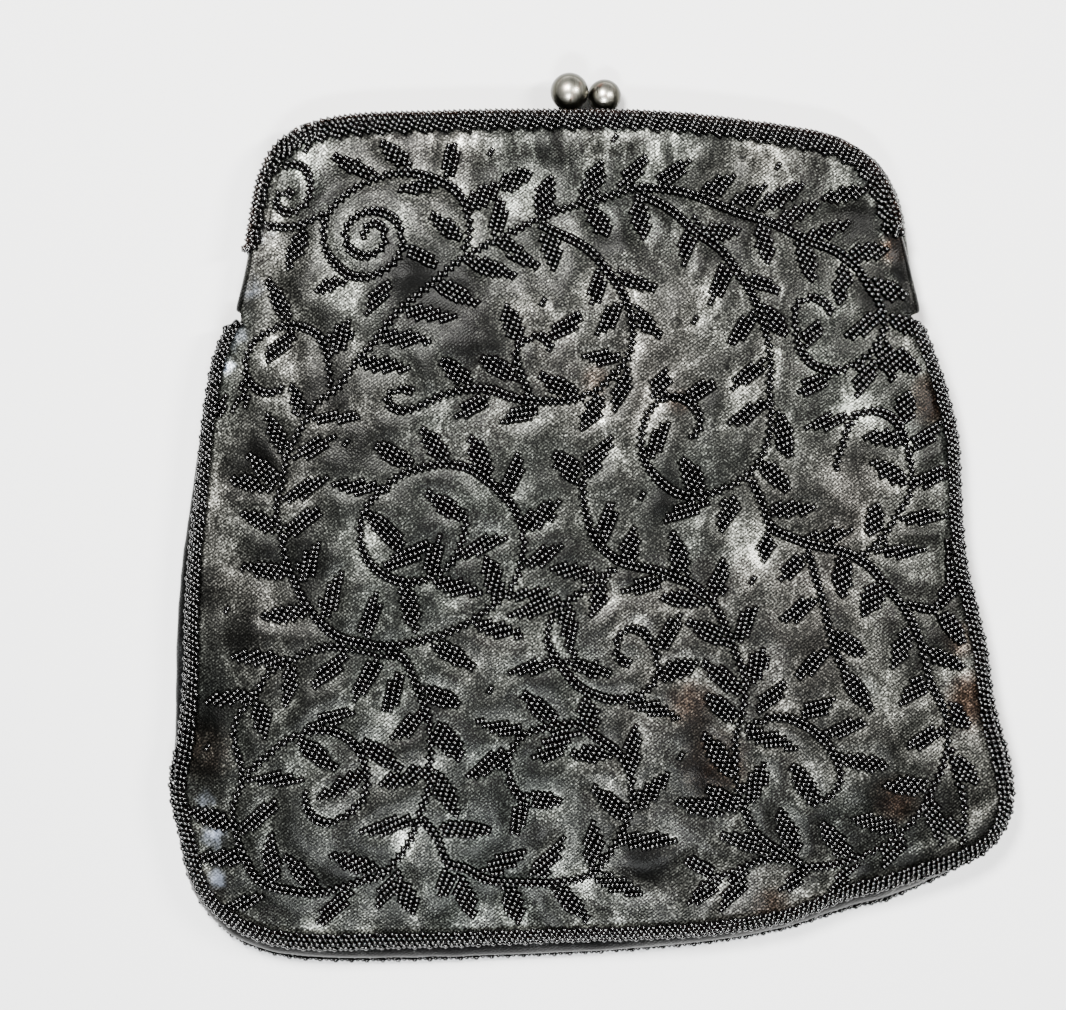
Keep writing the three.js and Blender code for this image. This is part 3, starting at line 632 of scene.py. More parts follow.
def beadPiece(name, places, material, rng):
    # places: x, y, z and the thread's direction in mm, tone, 1 where a black thread pad is laid
    # under it, which is sewing thread and also painted shade between and around the beads.
    corners, faces = baseBead()
    data = np.array(places, float)
    centre = data[:, :3]
    thread = data[:, 3:6] / np.linalg.norm(data[:, 3:6], axis=1, keepdims=True)
    guide = np.where(np.abs(thread[:, 2:3]) > 0.9, [[1.0, 0, 0]], [[0, 0, 1.0]])
    sideways = np.cross(thread, guide)
    sideways /= np.linalg.norm(sideways, axis=1, keepdims=True)
    upwards = np.cross(sideways, thread)
    count = len(data)
    spread = [[rng.uniform(*bead["widths"]), rng.uniform(*bead["lengths"])] for _ in range(count)]
    spread = np.array(spread)
    size = bead["radius"] * spread[:, 0:1]
    length = bead["halfLength"] * spread[:, 1:2]
    points = (
        centre[:, None, :]
        + sideways[:, None, :] * (corners[None, :, 0:1] * size[:, None, :])
        + upwards[:, None, :] * (corners[None, :, 1:2] * size[:, None, :])
        + thread[:, None, :] * (corners[None, :, 2:3] * length[:, None, :])
    ).reshape(-1, 3) * mm
    per = len(corners)
    outward = points / mm - np.repeat(centre, per, axis=0)
    rise = outward[:, 2] / np.linalg.norm(outward, axis=1)
    # Painted shade: the beads' sides and undersides turn black, kept in the thread layer.
    paintedSideShade = bead["sideShadeStrength"] * np.clip((bead["shadeBelow"] - rise) / bead["shadeFade"], 0, 1)
    allFaces = [[v + k * per for v in face] for k in range(count) for face in faces]
    # Black thread pads under the beads: sewing thread, and also painted shade between and around
    # the beads.
    laid = data[:, 7] > 0
    base = (centre - upwards * bead["threadDepth"])[laid][:, None, :]
    ends = np.array([-1, 1, 1, -1])[None, :, None] * bead["threadHalfLength"]
    edges = np.array([-1, -1, 1, 1])[None, :, None] * bead["threadHalfWidth"]
    ends, edges = ends * thread[laid][:, None, :], edges * sideways[laid][:, None, :]
    stitches = (base + ends + edges).reshape(-1, 3) * mm
    start = len(points)
    allFaces += [[start + 4 * k + n for n in (3, 2, 1, 0)] for k in range(int(laid.sum()))]
    mesh = bpy.data.meshes.new(name)
    mesh.from_pydata(np.concatenate([points, stitches]).tolist(), [], allFaces)
    shades = np.repeat(np.array([rng.random() for _ in range(count)]), per)
    layers = {
        "tone": (np.repeat(data[:, 6], per), 0.0), "shade": (shades, 0.0), "thread": (paintedSideShade, 1.0),
    }
    for label, (values, rest) in layers.items():
        addLayer(mesh, label, np.concatenate([values, np.full(len(stitches), rest)]))
    mesh.update()
    return addPiece(name, mesh, material)


def sewn(field, flatPlaces, rng, lift=0.0):
    # Puts beads of the plan view on the satin, with the thread along its slope.
    places = []
    for x, y, dx, dy in flatPlaces:
        x += rng.uniform(-1, 1) * bead["wobble"]
        y += rng.uniform(-1, 1) * bead["wobble"]
        sx, sy = field.slope(x, y)
        z = float(field.at(x, y)) + bead["radius"] - bead["sink"] + lift
        places.append((x, y, z, dx, dy, dx * sx + dy * sy, 0.0, 1))
    return places


def ringPath(name, fromAngle, toAngle):
    # Middle line of a CAD piece round the pouch: x, y, z, half width and half height in mm.
    tree = treeOf(name)
    cx, cy = satin["centre"]
    rows = []
    last = None
    angles = np.linspace(math.radians(fromAngle), math.radians(toAngle), ringScan["directions"])
    for angle in angles:
        dx, dy = math.cos(angle), math.sin(angle)
        radii, tops, bottoms = [], [], []
        span = (ringScan["inner"], ringScan["outer"])
        if last is not None:
            span = (last - ringScan["near"], last + ringScan["near"])
        for radius in np.arange(span[0], span[1], ringScan["step"]):
            top = castAt(tree, cx + dx * radius, cy + dy * radius)
            if top is not None:
                radii.append(radius)
                tops.append(top)
                bottoms.append(castAt(tree, cx + dx * radius, cy + dy * radius, False))
        if len(radii) > ringScan["leastHits"]:
            last = middle = 0.5 * (radii[0] + radii[-1])
            rows.append((
                cx + dx * middle, cy + dy * middle, 0.5 * (max(tops) + min(bottoms)),
                0.5 * (radii[-1] - radii[0] + ringScan["step"]), 0.5 * (max(tops) - min(bottoms)),
            ))
    path = np.array(rows)
    for _ in range(ringScan["smoothPasses"]):
        path[1:-1] = 0.5 * path[1:-1] + 0.25 * (path[:-2] + path[2:])
    return path


def lineAt(path, k):
    # Heading of a path at one of its points, and the way out of the pouch there.
    a, b = path[max(k - 1, 0)], path[min(k + 1, len(path) - 1)]
    along = np.array([b[0] - a[0], b[1] - a[1]])
    along /= np.hypot(*along)
    side = np.array([along[1], -along[0]])
    outward = np.array([path[k][0] - satin["centre"][0], path[k][1] - satin["centre"][1]])
    return along, side if float(np.dot(side, outward)) > 0 else -side


def rowSkews(path, lean, least):
    # How far each bead row across a path runs along it, changing gently where the lean turns over.
    skews = []
    for k in range(len(path)):
        along, side = lineAt(path, k)
        tangent = math.atan2(along[1], along[0])
        slant = slantOf(tangent, math.radians(lean), math.radians(least))
        row = np.array([math.cos(tangent + slant), math.sin(tangent + slant)])
        skews.append(float(np.dot(row, along)) / float(np.dot(row, side)))
    padded = skews[:1] * skewReach + skews + skews[-1:] * skewReach
    window = 2 * skewReach + 1
    return np.convolve(padded, np.ones(window) / window, "valid")


def ropeBeads(path, rng):
    # Slanted bead rows over an oval seam, with a few beads on its underside, in scalloped groups.
    path = resample(path, trim["rowPitch"])
    skews = rowSkews(path, trim["lean"], trim["leanLeast"])
    places = []
    for k in range(len(path)):
        along, side = lineAt(path, k)
        skew = skews[k] + rng.uniform(-trim["wobble"], trim["wobble"])
        halfWidth = path[k][3] - bead["radius"]
        halfHeight = max(path[k][4] - bead["radius"], trim["leastHeight"])
        bulge = trim["scallop"] * (0.5 + 0.5 * math.cos(2 * math.pi * k / trim["scallopRows"]))
        top, under, spread = trim["topBeads"], trim["underBeads"], trim["underSpread"]
        spots = [(2 * n / (top - 1) - 1, 1) for n in range(top)]
        spots += [(spread * (n + 0.5) / under - 0.5 * spread, -1) for n in range(under)]
        for t, face in spots:
            wide = t * (halfWidth + bulge)
            x = path[k][0] + side[0] * wide + along[0] * wide * skew
            y = path[k][1] + side[1] * wide + along[1] * wide * skew
            z = path[k][2] + face * halfHeight * (1 - trim["dome"] * t * t)
            fall = -2 * face * trim["dome"] * t * halfHeight / halfWidth
            dx, dy = side[0] + skew * along[0], side[1] + skew * along[1]
            places.append((x, y, z, dx, dy, fall, 0.0, 1 if face > 0 else 0))
    return places


def bandBeads(path, rng, above):
    # Slanted bead rows across the frame, browner at its outer edge, narrower at the left arm.
    path = resample(path, frameBand["rowPitch"])
    skews = rowSkews(path, frameBand["lean"], frameBand["leanLeast"])
    places = []
    count = frameBand["beadsAcross"]
    for k in range(len(path)):
        along, side = lineAt(path, k)
        skew = skews[k] + rng.uniform(-frameBand["wobble"], frameBand["wobble"])
        halfWidth = path[k][3] - bead["radius"]
        drop = frameBand["scallop"] * (1 - math.cos(2 * math.pi * k / frameBand["scallopRows"]))
        taper = 0
        if path[k][0] < frameBand["narrowBefore"]:
            taper = (frameBand["narrowBelow"] - path[k][1]) / frameBand["narrowEvery"]
        for n in range(int(min(max(taper, 0), count - frameBand["narrowBeads"])), count):
            t = 2 * n / (count - 1) - 1
            across = t * halfWidth - drop * (1 - t) * 0.5
            x = path[k][0] + side[0] * across + along[0] * across * skew
            y = path[k][1] + side[1] * across + along[1] * across * skew
            z = path[k][2] + frameBand["crown" if above else "underCrown"] * (1 - t * t)
            dx, dy = side[0] + skew * along[0], side[1] + skew * along[1]
            tone = max(0.0, t - frameBand["brownFrom"]) * rng.uniform(0.0, frameBand["brownMost"])
            places.append((x, y, z, dx, dy, 0.0, tone, 1 if above else 0))
    return places


print("satin heights")
rng = random.Random(11)
frontTree = treeOf("front_panel", "front_frame_sleeve")
backTree = treeOf("back_panel", "back_frame_sleeve")
frontField = HeightField(frontTree, True, satin["smoothPasses"])
backField = HeightField(backTree, False, satin["smoothPasses"])

print("bead chart")
chart = {"stems": [], "leaves": [], "singles": []}
for points in stems.values():
    flat = [onSurface(frontField, px, py) for px, py in points]
    chart["stems"] += thinned(stemBeads(flat, rng), chart["stems"], stemForm["clear"])
for leaf in leaves:
    sewnBefore = chart["stems"] + chart["leaves"]
    chart["leaves"] += thinned(leafBeads(frontField, leaf, rng), sewnBefore, leafForm["clear"])
for px, py in singles:
    x, y = onSurface(frontField, px, py)
    angle = math.radians(singleForm["lean"])
    chart["singles"] += rowOfBeads(x, y, angle, singleForm["beads"], bead["pitch"])

print("quilting")
nearBeads = placeTree(chart["stems"] + chart["leaves"] + chart["singles"])
for i in range(frontField.counts[0]):
    for j in range(frontField.counts[1]):
        x, y = frontField.low[0] + i, frontField.low[1] + j
        away = min(nearBeads.find((x, y, 0))[2] / satin["quiltReach"], 1)
        puff = satin["quiltDepth"] * (away * (2 - away) - satin["quiltSink"])
        pucker = noise.noise(Vector((x, y, 3)) / satin["puckerSize"]) * satin["puckerHeight"]
        squeezed = Vector((x, y * satin["wrinkleStretch"], 9))
        wrinkle = noise.noise(squeezed / satin["wrinkleSize"]) * satin["wrinkleHeight"]
        loose = satin["besideBeads"] + (1 - satin["besideBeads"]) * away
        frontField.z[i, j] += (puff + (pucker + wrinkle) * loose) * satin["reliefShare"]
frontField.smooth()
calmField = copy.deepcopy(frontField)
for _ in range(satin["calmPasses"]):
    calmField.smooth()


class Socket:
    # A shader value that Python's operators work on.
    def __init__(self, graph, socket):
        self.graph, self.socket = graph, socket

    def math(self, operation, other=None, swapped=False):
        pair = (other, self) if swapped else (self, other)
        inputs = {k: v for k, v in enumerate(pair) if v is not None}
        return self.graph.node("ShaderNodeMath", {"operation": operation}, inputs)

    def __add__(self, other):
        return self.math("ADD", other)

    def __sub__(self, other):
        return self.math("SUBTRACT", other)

    def __mul__(self, other):
        return self.math("MULTIPLY", other)

    def __rpow__(self, other):
        return self.math("POWER", other, True)

    def __rsub__(self, other):
        return self.math("SUBTRACT", other, True)

    __radd__ = __add__
    __rmul__ = __mul__

    def clamped(self):
        return self.math("MAXIMUM", 0.0).math("MINIMUM", 1.0)

    def sine(self):
        return self.math("SINE")


class Graph:
    # One material's nodes.
    def __init__(self, name):
        self.material = bpy.data.materials.new(name)
        self.material.use_nodes = True
        self.tree = self.material.node_tree
        self.tree.nodes.clear()

    def node(self, kind, settings=None, inputs=None, output=0):
        made = self.tree.nodes.new(kind)
        for key, value in (settings or {}).items():
            setattr(made, key, value)
        for key, value in (inputs or {}).items():
            if isinstance(value, Socket):
                self.tree.links.new(value.socket, made.inputs[key])
            else:
                made.inputs[key].default_value = value
        return Socket(self, made.outputs[output]) if made.outputs else made

    def mix(self, factor, a, b):
        return self.node("ShaderNodeMix", {"data_type": "RGBA"}, {0: factor, 6: a, 7: b}, 2)

    def attribute(self, name):
        return self.node("ShaderNodeAttribute", {"attribute_name": name}, {}, 2)

    def coords(self):
        return self.node("ShaderNodeTexCoord", {}, {}, 3)

    def noise(self, where, scale, detail=2.0, roughness=0.5):
        return self.node("ShaderNodeTexNoise", {}, {
            "Vector": where, "Scale": scale, "Detail": detail, "Roughness": roughness})

    def stretched(self, where, scale, turn=0.0):
        return self.node("ShaderNodeMapping", {}, {
            "Vector": where, "Scale": scale, "Rotation": (0, 0, turn)})

    def upward(self, where):
        return self.node("ShaderNodeSeparateXYZ", {}, {0: where}, 1)

    def bump(self, height, distance, strength=1.0):
        return self.node("ShaderNodeBump", {}, {
            "Height": height, "Distance": distance, "Strength": strength})

    def finish(self, inputs):
        shader = self.node("ShaderNodeBsdfPrincipled", {}, inputs)
        self.node("ShaderNodeOutputMaterial", {}, {"Surface": shader})
        return self.material


satinLook = {
    "neutral": (0.90, 1.0, 0.88, 1), "warm": (1.0, 0.96, 0.86, 1),
    "brown": (1.0, 0.60, 0.40, 1), "blueSheen": (0.66, 0.76, 1.0, 1),
    "level": 0.019, "patchSpan": 9.0, "grainSpan": 16.0, "brightest": 0.62,
    "shine": 0.1, "metallic": 0.5, "roughness": 0.34,
    "threadPitch": 0.76, "threadTurn": 0.66, "threadDepth": 0.05, "threadWander": 4.0,
    "driftScale": 110, "speckScale": 1900, "patchScale": 66, "cloudScale": 24,
    "tornScale": 260, "gatherScale": 260, "gatherRise": 80.0, "gatherFrom": 7.0,
    "creaseScale": 58, "creaseSharp": 900.0,
}
# The side gusset is the same satin painted darker, as painted shade, with a cooler tint and less
# grain.
shadedGussetLook = {**satinLook, "level": 0.005, "grainSpan": 6.0, "neutral": (0.85, 0.93, 1.0, 1)}


def satinMaterial(name, look):
    # Fine crossed threads and specks over soft pale and dark patches, which are painted sheen and
    # painted shade, with painted highlights along creases and painted light and dark streaks near
    # the frame.
    graph = Graph(name)
    where = graph.coords()
    drift = graph.noise(where, look["driftScale"], 2)

    def threads(turn):
        across = graph.upward(graph.stretched(where, (1, 1, 1), turn))
        wave = across * (2 * math.pi / (look["threadPitch"] * mm))
        return (wave + drift * look["threadWander"]).sine()

    def swing(scale, gain, detail=2, roughness=0.5, stretch=None, turn=0.0):
        # Noise about zero.
        spot = graph.stretched(where, stretch, turn) if stretch else where
        return (graph.noise(spot, scale, detail, roughness) - 0.5) * gain

    weave = threads(-look["threadTurn"]) * 0.22 + threads(look["threadTurn"]) * 0.12
    grain = weave + swing(look["speckScale"], 3.0, 1)
    # Painted sheen and painted shade: soft pale and dark patches.
    paintedSheenPatches = swing(look["patchScale"], 3.2, 3, 0.55, (1.25, 0.9, 1), 0.3)
    # Clouds shift the tint between neutral and warm, and add painted sheen.
    clouds = swing(look["cloudScale"], 2.0)
    torn = swing(look["tornScale"], 2.4, 3, 0.6)
    brown = (graph.attribute("brown") * (1.4 + torn) - 0.15).clamped()
    # Painted sheen: the blue marks make the satin brighter and bluer, with less grain.
    blueSheen = (graph.attribute("blueSheen") * 2.0 + torn * 0.9 - 0.5).clamped()
    # Painted light and dark streaks of gathers near the frame.
    nearFrame = (graph.upward(where) * look["gatherRise"] - look["gatherFrom"]).clamped()
    paintedGatherStreaks = swing(look["gatherScale"], 3.0, stretch=(1.6, 0.35, 1)) * nearFrame
    # Painted highlights along thin creases.
    bend = swing(look["creaseScale"], 1.0, 3, 0.5, (1.2, 0.8, 1), 0.5)
    paintedCreaseHighlights = (1.0 - bend * bend * look["creaseSharp"]).clamped() * (paintedSheenPatches + 0.7).clamped()
    # The tone gathers painted light and shade; the brown tints darken it too.
    tone = paintedSheenPatches * 0.7 + clouds * 0.5 + paintedGatherStreaks + paintedCreaseHighlights * 0.5
    # Painted highlights from the pale marks and painted shade from the shadow marks.
    tone = tone + (graph.attribute("pale") - graph.attribute("shadow")) * 1.3
    # Painted shade on the raised puffs and painted highlights where the satin sinks beside the
    # beads.
    tone = tone - graph.attribute("paintedReliefShade") * 0.5 + blueSheen * 1.35 - brown * 0.35
    speckled = look["grainSpan"] ** (grain * (1.0 - blueSheen * 0.8))
    amount = look["level"] * look["patchSpan"] ** tone * speckled
    tint = graph.mix((clouds + 0.5).clamped(), look["neutral"], look["warm"])
    tint = graph.mix(brown * 0.85, tint, look["brown"])
    tint = graph.mix(blueSheen * 0.9, tint, look["blueSheen"])
    share = (amount * 0.8 + 0.001).math("MINIMUM", look["brightest"])
    return graph.finish({
        "Base Color": graph.mix(share, (0, 0, 0, 1), tint),
        "Metallic": look["metallic"],
        "Roughness": look["roughness"] - paintedSheenPatches * 0.06,
        "Specular IOR Level": look["shine"],
        "Normal": graph.bump(grain, look["threadDepth"] * mm, 0.6),
    })


beadLook = {
    "black": (0.001, 0.001, 0.001, 1), "brown": (0.035, 0.017, 0.010, 1),
    # Colour of the thread pads and of the painted shade on the beads' sides.
    "thread": (0.002, 0.002, 0.002, 1),
    "roughness": 0.05, "shine": 0.85, "coat": 0.3, "coatRoughness": 0.03, "smearScale": 900,
}


def beadMaterial(name, look):
    # Black glass with a coat, with painted shade turning its sides black; the sewing thread under
    # it, also painted shade between the beads, is black and matte.
    graph = Graph(name)
    shade = graph.attribute("shade")
    tone = graph.attribute("tone")
    smear = graph.noise(graph.coords(), look["smearScale"], 2)
    colour = graph.mix((tone * 0.9 + shade * 0.03).clamped(), look["black"], look["brown"])
    # The thread layer: black thread pads, and painted shade on the beads' sides.
    thread = graph.attribute("thread")
    rough = look["roughness"] + shade * 0.05 + smear * 0.03
    return graph.finish({
        "Base Color": graph.mix(thread, colour, look["thread"]),
        "Roughness": rough + (thread * 8.0 - 7.0).clamped() * 0.85,
        "Metallic": thread,
        "Specular IOR Level": look["shine"],
        "Coat Weight": look["coat"] - thread * look["coat"],
        "Coat Roughness": look["coatRoughness"],
        "Normal": graph.bump(smear, 0.01 * mm, 0.2),
    })


nickelLook = {
    # The dark streak colour is wear and painted dark reflection; the rim colour is painted shade.
    "bright": (0.56, 0.54, 0.46, 1), "wearAndDarkReflection": (0.035, 0.031, 0.024, 1),
    "warm": (0.42, 0.25, 0.19, 1), "paintedSideShade": (0.05, 0.048, 0.036, 1),
    "roughness": 0.27, "shadeBelow": 0.68,
    "cloudScale": 330, "streakScale": 150, "warmPatchScale": 420, "scratchScale": 900,
}


def nickelMaterial(name, look):
    # Plating with dark streaks, partly wear and partly painted dark reflections, warm patches, and
    # painted shade darkening the balls' lower rims.
    graph = Graph(name)
    where = graph.coords()
    cloudy = graph.noise(where, look["cloudScale"], 4, 0.6)
    streaks = graph.noise(graph.stretched(where, (4.5, 1, 1), 0.12), look["streakScale"], 3, 0.6)
    warmPatch = graph.noise(where, look["warmPatchScale"], 2)
    scratches = graph.noise(graph.stretched(where, (1, 6, 1), 0.4), look["scratchScale"], 2)
    # Dark streaks: wear, and painted dark reflections.
    wearAndDarkReflection = ((streaks - 0.47) * 5.0 + (cloudy - 0.5) * 1.2).clamped()
    # Painted shade: the balls turn dark towards their lower rims.
    height = graph.attribute("paintedLitByHeight") - look["shadeBelow"]
    paintedLitByHeight = (height * 6.0 + (cloudy - 0.5) * 0.6).clamped()
    colour = graph.mix(wearAndDarkReflection * 0.95, look["bright"], look["wearAndDarkReflection"])
    colour = graph.mix(((warmPatch - 0.55) * 5.0).clamped() * 0.7, colour, look["warm"])
    return graph.finish({
        "Base Color": graph.mix(paintedLitByHeight, look["paintedSideShade"], colour),
        "Metallic": 1.0,
        "Roughness": look["roughness"] + wearAndDarkReflection * 0.08 + scratches * 0.05,
        "Normal": graph.bump(scratches, 0.01 * mm, 0.25),
    })


floorLook = {
    "pale": (0.93, 0.93, 0.93, 1), "palest": (0.96, 0.96, 0.96, 1),
    "cloudScale": 6, "roughness": 0.75, "halfSize": 2.5, "cells": 8,
}


def floorMaterial(name, look):
    graph = Graph(name)
    cloud = graph.noise(graph.coords(), look["cloudScale"], 2)
    return graph.finish({
        "Base Color": graph.mix(cloud, look["pale"], look["palest"]),
        "Roughness": look["roughness"],
    })


satinCloth = satinMaterial("satin", satinLook)
shadedGussetCloth = satinMaterial("shadedGussetSatin", shadedGussetLook)
beadGlass = beadMaterial("seedBeads", beadLook)
nickel = nickelMaterial("claspNickel", nickelLook)


def rimRadii(panel, sleeve, fromAbove):
    # How far the cloth reaches from the middle in each direction, tucked in over the frame sleeve.
    trees = [treeOf(panel), treeOf(sleeve)]
    cx, cy = satin["centre"]
    radii = []
    for k in range(rimScan["directions"]):
        angle = 2 * math.pi * k / rimScan["directions"]
        dx, dy = math.cos(angle), math.sin(angle)
        radius = radii[-1] + rimScan["back"] if radii else rimScan["from"]
        while radius > rimScan["to"]:
            hits = [castAt(tree, cx + dx * radius, cy + dy * radius, fromAbove) for tree in trees]
            if any(h is not None for h in hits):
                break
            radius -= rimScan["step"]
        radii.append(radius - (satin["sleeveTuck"] if hits[0] is None else rimScan["sleeveGap"]))
    radii = np.array(radii)
    for _ in range(2):
        radii = 0.5 * radii + 0.25 * (np.roll(radii, 1) + np.roll(radii, -1))
    return radii


def clothPiece(name, field, radii, cells, outward, material):
    # A square grid drawn out to the rim of the cloth, laid on its heights and given its wall.
    cx, cy = satin["centre"]
    bm = bmesh.new()
    bmesh.ops.create_grid(bm, x_segments=cells, y_segments=cells, size=1)
    for vertex in bm.verts:
        u, v = vertex.co.x, vertex.co.y
        x, y = u * math.sqrt(1 - 0.5 * v * v), v * math.sqrt(1 - 0.5 * u * u)
        share = min(math.hypot(x, y), 1)
        angle = math.atan2(y, x) % (2 * math.pi)
        spot = angle / (2 * math.pi) * len(radii)
        low = int(spot) % len(radii)
        reach = radii[low] + (spot - int(spot)) * (radii[(low + 1) % len(radii)] - radii[low])
        px = cx + math.cos(angle) * share * reach
        py = cy + math.sin(angle) * share * reach
        vertex.co = (px * mm, py * mm, float(field.at(px, py)) * mm)
    for face in bm.faces:
        if (face.normal.z > 0) != outward:
            face.normal_flip()
    bmesh.ops.solidify(bm, geom=list(bm.faces), thickness=satin["wall"] * mm)
    bm.normal_update()
    mesh = bpy.data.meshes.new(name)
    bm.to_mesh(mesh)
    bm.free()
    paint(mesh)
    return addPiece(name, mesh, material)


def paint(mesh):
    # The tints of the satin, its painted sheen, shade and highlights, and painted shade on its
    # raised puffs with painted highlights where it sinks beside the beads, kept on its points.
    points = np.array([v.co[:] for v in mesh.vertices]) / mm
    relief = frontField.at(points[:, 0], points[:, 1]) - calmField.at(points[:, 0], points[:, 1])
    relief = np.where(points[:, 2] > satin["tintAbove"], relief / satin["reliefScale"], 0.0)
    addLayer(mesh, "paintedReliefShade", np.clip(relief, satin["reliefLeast"], 1.0).tolist())
    for kind, marks in tints.items():
        spots = [(onSurface(frontField, px, py), reach / photo["pixelsPerMm"], strength)
            for px, py, reach, strength in marks]
        values = []
        for vertex in mesh.vertices:
            total = 0.0
            if vertex.co.z > satin["tintAbove"] * mm:
                for (x, y), reach, strength in spots:
                    away = math.hypot(vertex.co.x / mm - x, vertex.co.y / mm - y) / reach
                    total += strength * max(0.0, 1 - away * away) ** 1.5
            values.append(min(total, 1))
        addLayer(mesh, kind, values)


def welded(node):
    bm = bmesh.new()
    bm.from_mesh(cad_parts[node].data)
    bmesh.ops.remove_doubles(bm, verts=bm.verts, dist=weldWithin)
    return bm


def refined(name, node, material, pucker=0.0):
    # A CAD piece's own form, its triangles joined into fours and rounded between its sections.
    bm = welded(node)
    paired, diagonals = set(), []
    for edge in sorted(bm.edges, key=lambda e: -e.calc_length()):
        sides = edge.link_faces
        if len(sides) != 2 or paired & set(sides):
            continue
        if sides[0].normal.dot(sides[1].normal) > satin["pairWithin"]:
            paired |= set(sides)
            diagonals.append(edge)
    bmesh.ops.dissolve_edges(bm, edges=diagonals, use_verts=False)
    mesh = bpy.data.meshes.new(name)
    bm.to_mesh(mesh)
    bm.free()
    helper = bpy.data.objects.new(name + "Helper", mesh)
    bpy.context.scene.collection.objects.link(helper)
    modifier = helper.modifiers.new("round", "SUBSURF")
    modifier.levels = modifier.render_levels = satin["roundings"]
    bpy.context.view_layer.update()
    rounder = helper.evaluated_get(bpy.context.evaluated_depsgraph_get())
    smooth = bpy.data.meshes.new_from_object(rounder)
    smooth.name = name
    bpy.data.objects.remove(helper)
    bpy.data.meshes.remove(mesh)
    if pucker:
        normals = [vertex.normal.copy() for vertex in smooth.vertices]
        for vertex, normal in zip(smooth.vertices, normals):
            wave = noise.noise(vertex.co / (satin["gussetPuckerSize"] * mm))
            vertex.co += normal * (wave * pucker * mm)
    smooth.materials.clear()
    paint(smooth)
    piece = addPiece(name, smooth, material)
    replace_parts(piece, node)
    return piece


print("cloth")
frontRadii = rimRadii("front_panel", "front_frame_sleeve", True)
backRadii = rimRadii("back_panel", "back_frame_sleeve", False)
satinFront = clothPiece("satinFront", frontField, frontRadii, satin["cells"], True, satinCloth)
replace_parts(satinFront, "front_panel")
for i in range(backField.counts[0]):
    for j in range(backField.counts[1]):
        spot = Vector((backField.low[0] + i, backField.low[1] + j, 5)) / satin["puckerSize"]
        pucker = abs(noise.noise(spot)) * satin["backPucker"]
        backField.z[i, j] = max(backField.z[i, j] + pucker, 0.0)
satinBack = clothPiece("satinBack", backField, backRadii, satin["backCells"], False, satinCloth)
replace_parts(satinBack, "back_panel")
frontSleeve = refined("frontSleeve", "front_frame_sleeve", satinCloth)
backSleeve = refined("backSleeve", "back_frame_sleeve", satinCloth)
gusset = refined("gusset", "side_gusset", shadedGussetCloth, satin["gussetPucker"])

print("beads")
vine = sewn(frontField, chart["stems"], rng)
foliage = sewn(frontField, chart["leaves"], rng)
for label, places in (("stemBeads", vine), ("leafBeads", foliage)):
    pieces = math.ceil(len(places) / bead["perPiece"])
    for part in range(pieces):
        beadPiece(label + "ABCDEF"[part], places[part::pieces], beadGlass, rng)
beadPiece("singleBeads", sewn(frontField, chart["singles"], rng), beadGlass, rng)

print("trims")
frontSeam = ringPath("front_trim", 150, 395)
backSeam = ringPath("back_trim", 150, 395)
for label, seam, node in (
    ("frontTrimBeads", frontSeam, "front_trim"),
    ("backTrimBeads", backSeam, "back_trim"),
):
    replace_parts(beadPiece(label, ropeBeads(seam, rng), beadGlass, rng), node)
for label, node, above in (
    ("frontFrameBeads", "front_frame_beads", True),
    ("backFrameBeads", "back_frame_beads", False),
):
    band = bandBeads(ringPath(node, 148, 32), rng, above)
    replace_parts(beadPiece(label, band, beadGlass, rng), node)

print("clasp")
# Radii of the balls in mm, and shares of a radius.
clasp = {
    "front": 5.15, "back": 4.6,
    "cap": 1.9, "skin": 0.12, "pulledFrom": 0.5, "pulledTo": 1.02, "cuts": 5,
}


def claspPiece(name, node, radius):
    # The bar and stem keep the CAD form; the ball is made round.
    bm = welded(node)
    ball = radius * mm
    top = max(v.co.y for v in bm.verts)
    cap = [v.co for v in bm.verts if v.co.y > top - clasp["cap"] * ball]
    middle = Vector((
        0.5 * (min(c.x for c in cap) + max(c.x for c in cap)),
        top - ball,
        0.5 * (min(c.z for c in cap) + max(c.z for c in cap)),
    ))
    onBall = {v for v in bm.verts if abs((v.co - middle).length - ball) < clasp["skin"] * ball}
    edges = [e for e in bm.edges if e.verts[0] in onBall and e.verts[1] in onBall]
    bmesh.ops.subdivide_edges(bm, edges=edges, cuts=clasp["cuts"], use_grid_fill=True)
    for vertex in bm.verts:
        offset = vertex.co - middle
        if clasp["pulledFrom"] * ball < offset.length < clasp["pulledTo"] * ball:
            vertex.co = middle + offset.normalized() * ball
    mesh = bpy.data.meshes.new(name)
    bm.normal_update()
    bm.to_mesh(mesh)
    bm.free()
    # Height over the ball's middle, for the painted shade on its lower rim.
    addLayer(mesh, "paintedLitByHeight", [(v.co.z - middle.z) / ball for v in mesh.vertices])
    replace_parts(addPiece(name, mesh, nickel), node)


claspPiece("frontClasp", "front_clasp_frame", clasp["front"])
claspPiece("backClasp", "back_clasp_frame", clasp["back"])
for node in ("left_hinge_pin", "right_hinge_pin"):
    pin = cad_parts[node]
    pin.data.materials.clear()
    pin.data.materials.append(nickel)


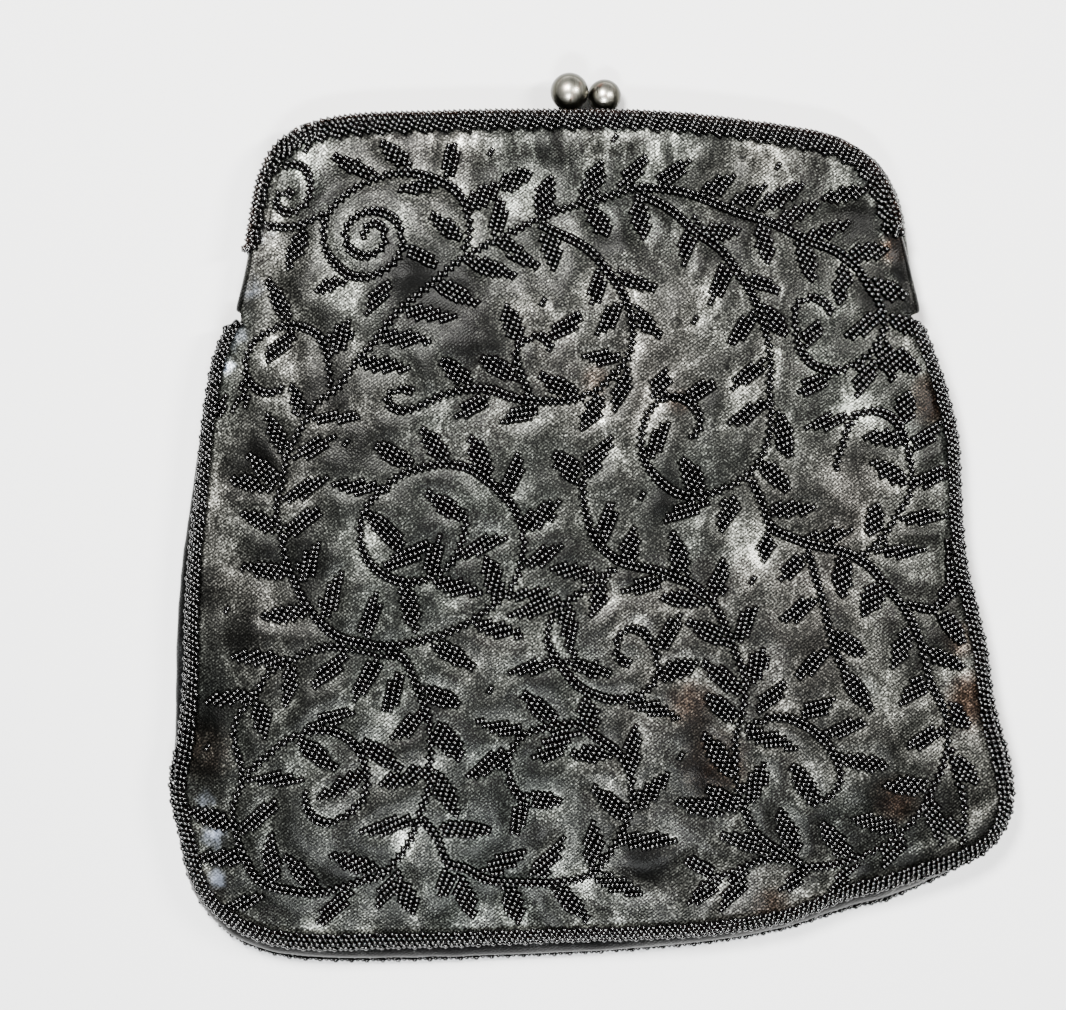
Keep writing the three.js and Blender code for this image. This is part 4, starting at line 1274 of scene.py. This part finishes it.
ringPath("front_frame_sleeve", 149, 31)
ringPath("back_frame_sleeve", 149, 31)
wedges = 0.5 * frontRadii * np.roll(frontRadii, -1)

print("stage")
floorMesh = bpy.data.meshes.new("floor")
floorShape = bmesh.new()
cells = floorLook["cells"]
bmesh.ops.create_grid(floorShape, x_segments=cells, y_segments=cells, size=floorLook["halfSize"])
floorShape.to_mesh(floorMesh)
floorShape.free()
floor = bpy.data.objects.new("floor", floorMesh)
floor.data.materials.append(floorMaterial("paleFloor", floorLook))
bpy.context.scene.collection.objects.link(floor)

# Soft lights in m and W, all aimed at the origin.
lights = {
    "key": {
        "place": (-0.20, 0.32, 0.74), "size": (0.19, 0.19),
        "power": 19.0, "colour": (1, 0.99, 0.97),
    },
    "strip": {
        "place": (0.42, 0.16, 0.62), "size": (0.07, 0.26),
        "power": 8.0, "colour": (1, 0.98, 0.95),
    },
    "fill": {
        "place": (-0.06, -0.40, 0.72), "size": (0.21, 0.10),
        "power": 9.0, "colour": (0.95, 0.98, 1),
    },
}
for name, setup in lights.items():
    lamp = bpy.data.lights.new(name, "AREA")
    lamp.shape = "RECTANGLE"
    lamp.size, lamp.size_y = setup["size"]
    lamp.energy = setup["power"]
    lamp.color = setup["colour"]
    holder = bpy.data.objects.new(name, lamp)
    holder.location = setup["place"]
    holder.rotation_euler = (-Vector(setup["place"])).to_track_quat("-Z", "Y").to_euler()
    bpy.context.scene.collection.objects.link(holder)

studioLight = {"colour": (0.95, 0.97, 1.0, 1), "strength": 0.15}
world = bpy.data.worlds.new("studio")
world.use_nodes = True
background = world.node_tree.nodes["Background"]
background.inputs[0].default_value = studioLight["colour"]
background.inputs[1].default_value = studioLight["strength"]
bpy.context.scene.world = world

cameraData = bpy.data.cameras.new("camera")
cameraData.lens = photo["lens"]
cameraData.sensor_width = photo["sensor"]
cameraData.clip_start = photo["clipStart"]
camera = bpy.data.objects.new("camera", cameraData)
camera.location = Vector((photo["cameraX"], photo["cameraY"], photo["cameraHeight"])) * mm
bpy.context.scene.collection.objects.link(camera)
bpy.context.scene.camera = camera
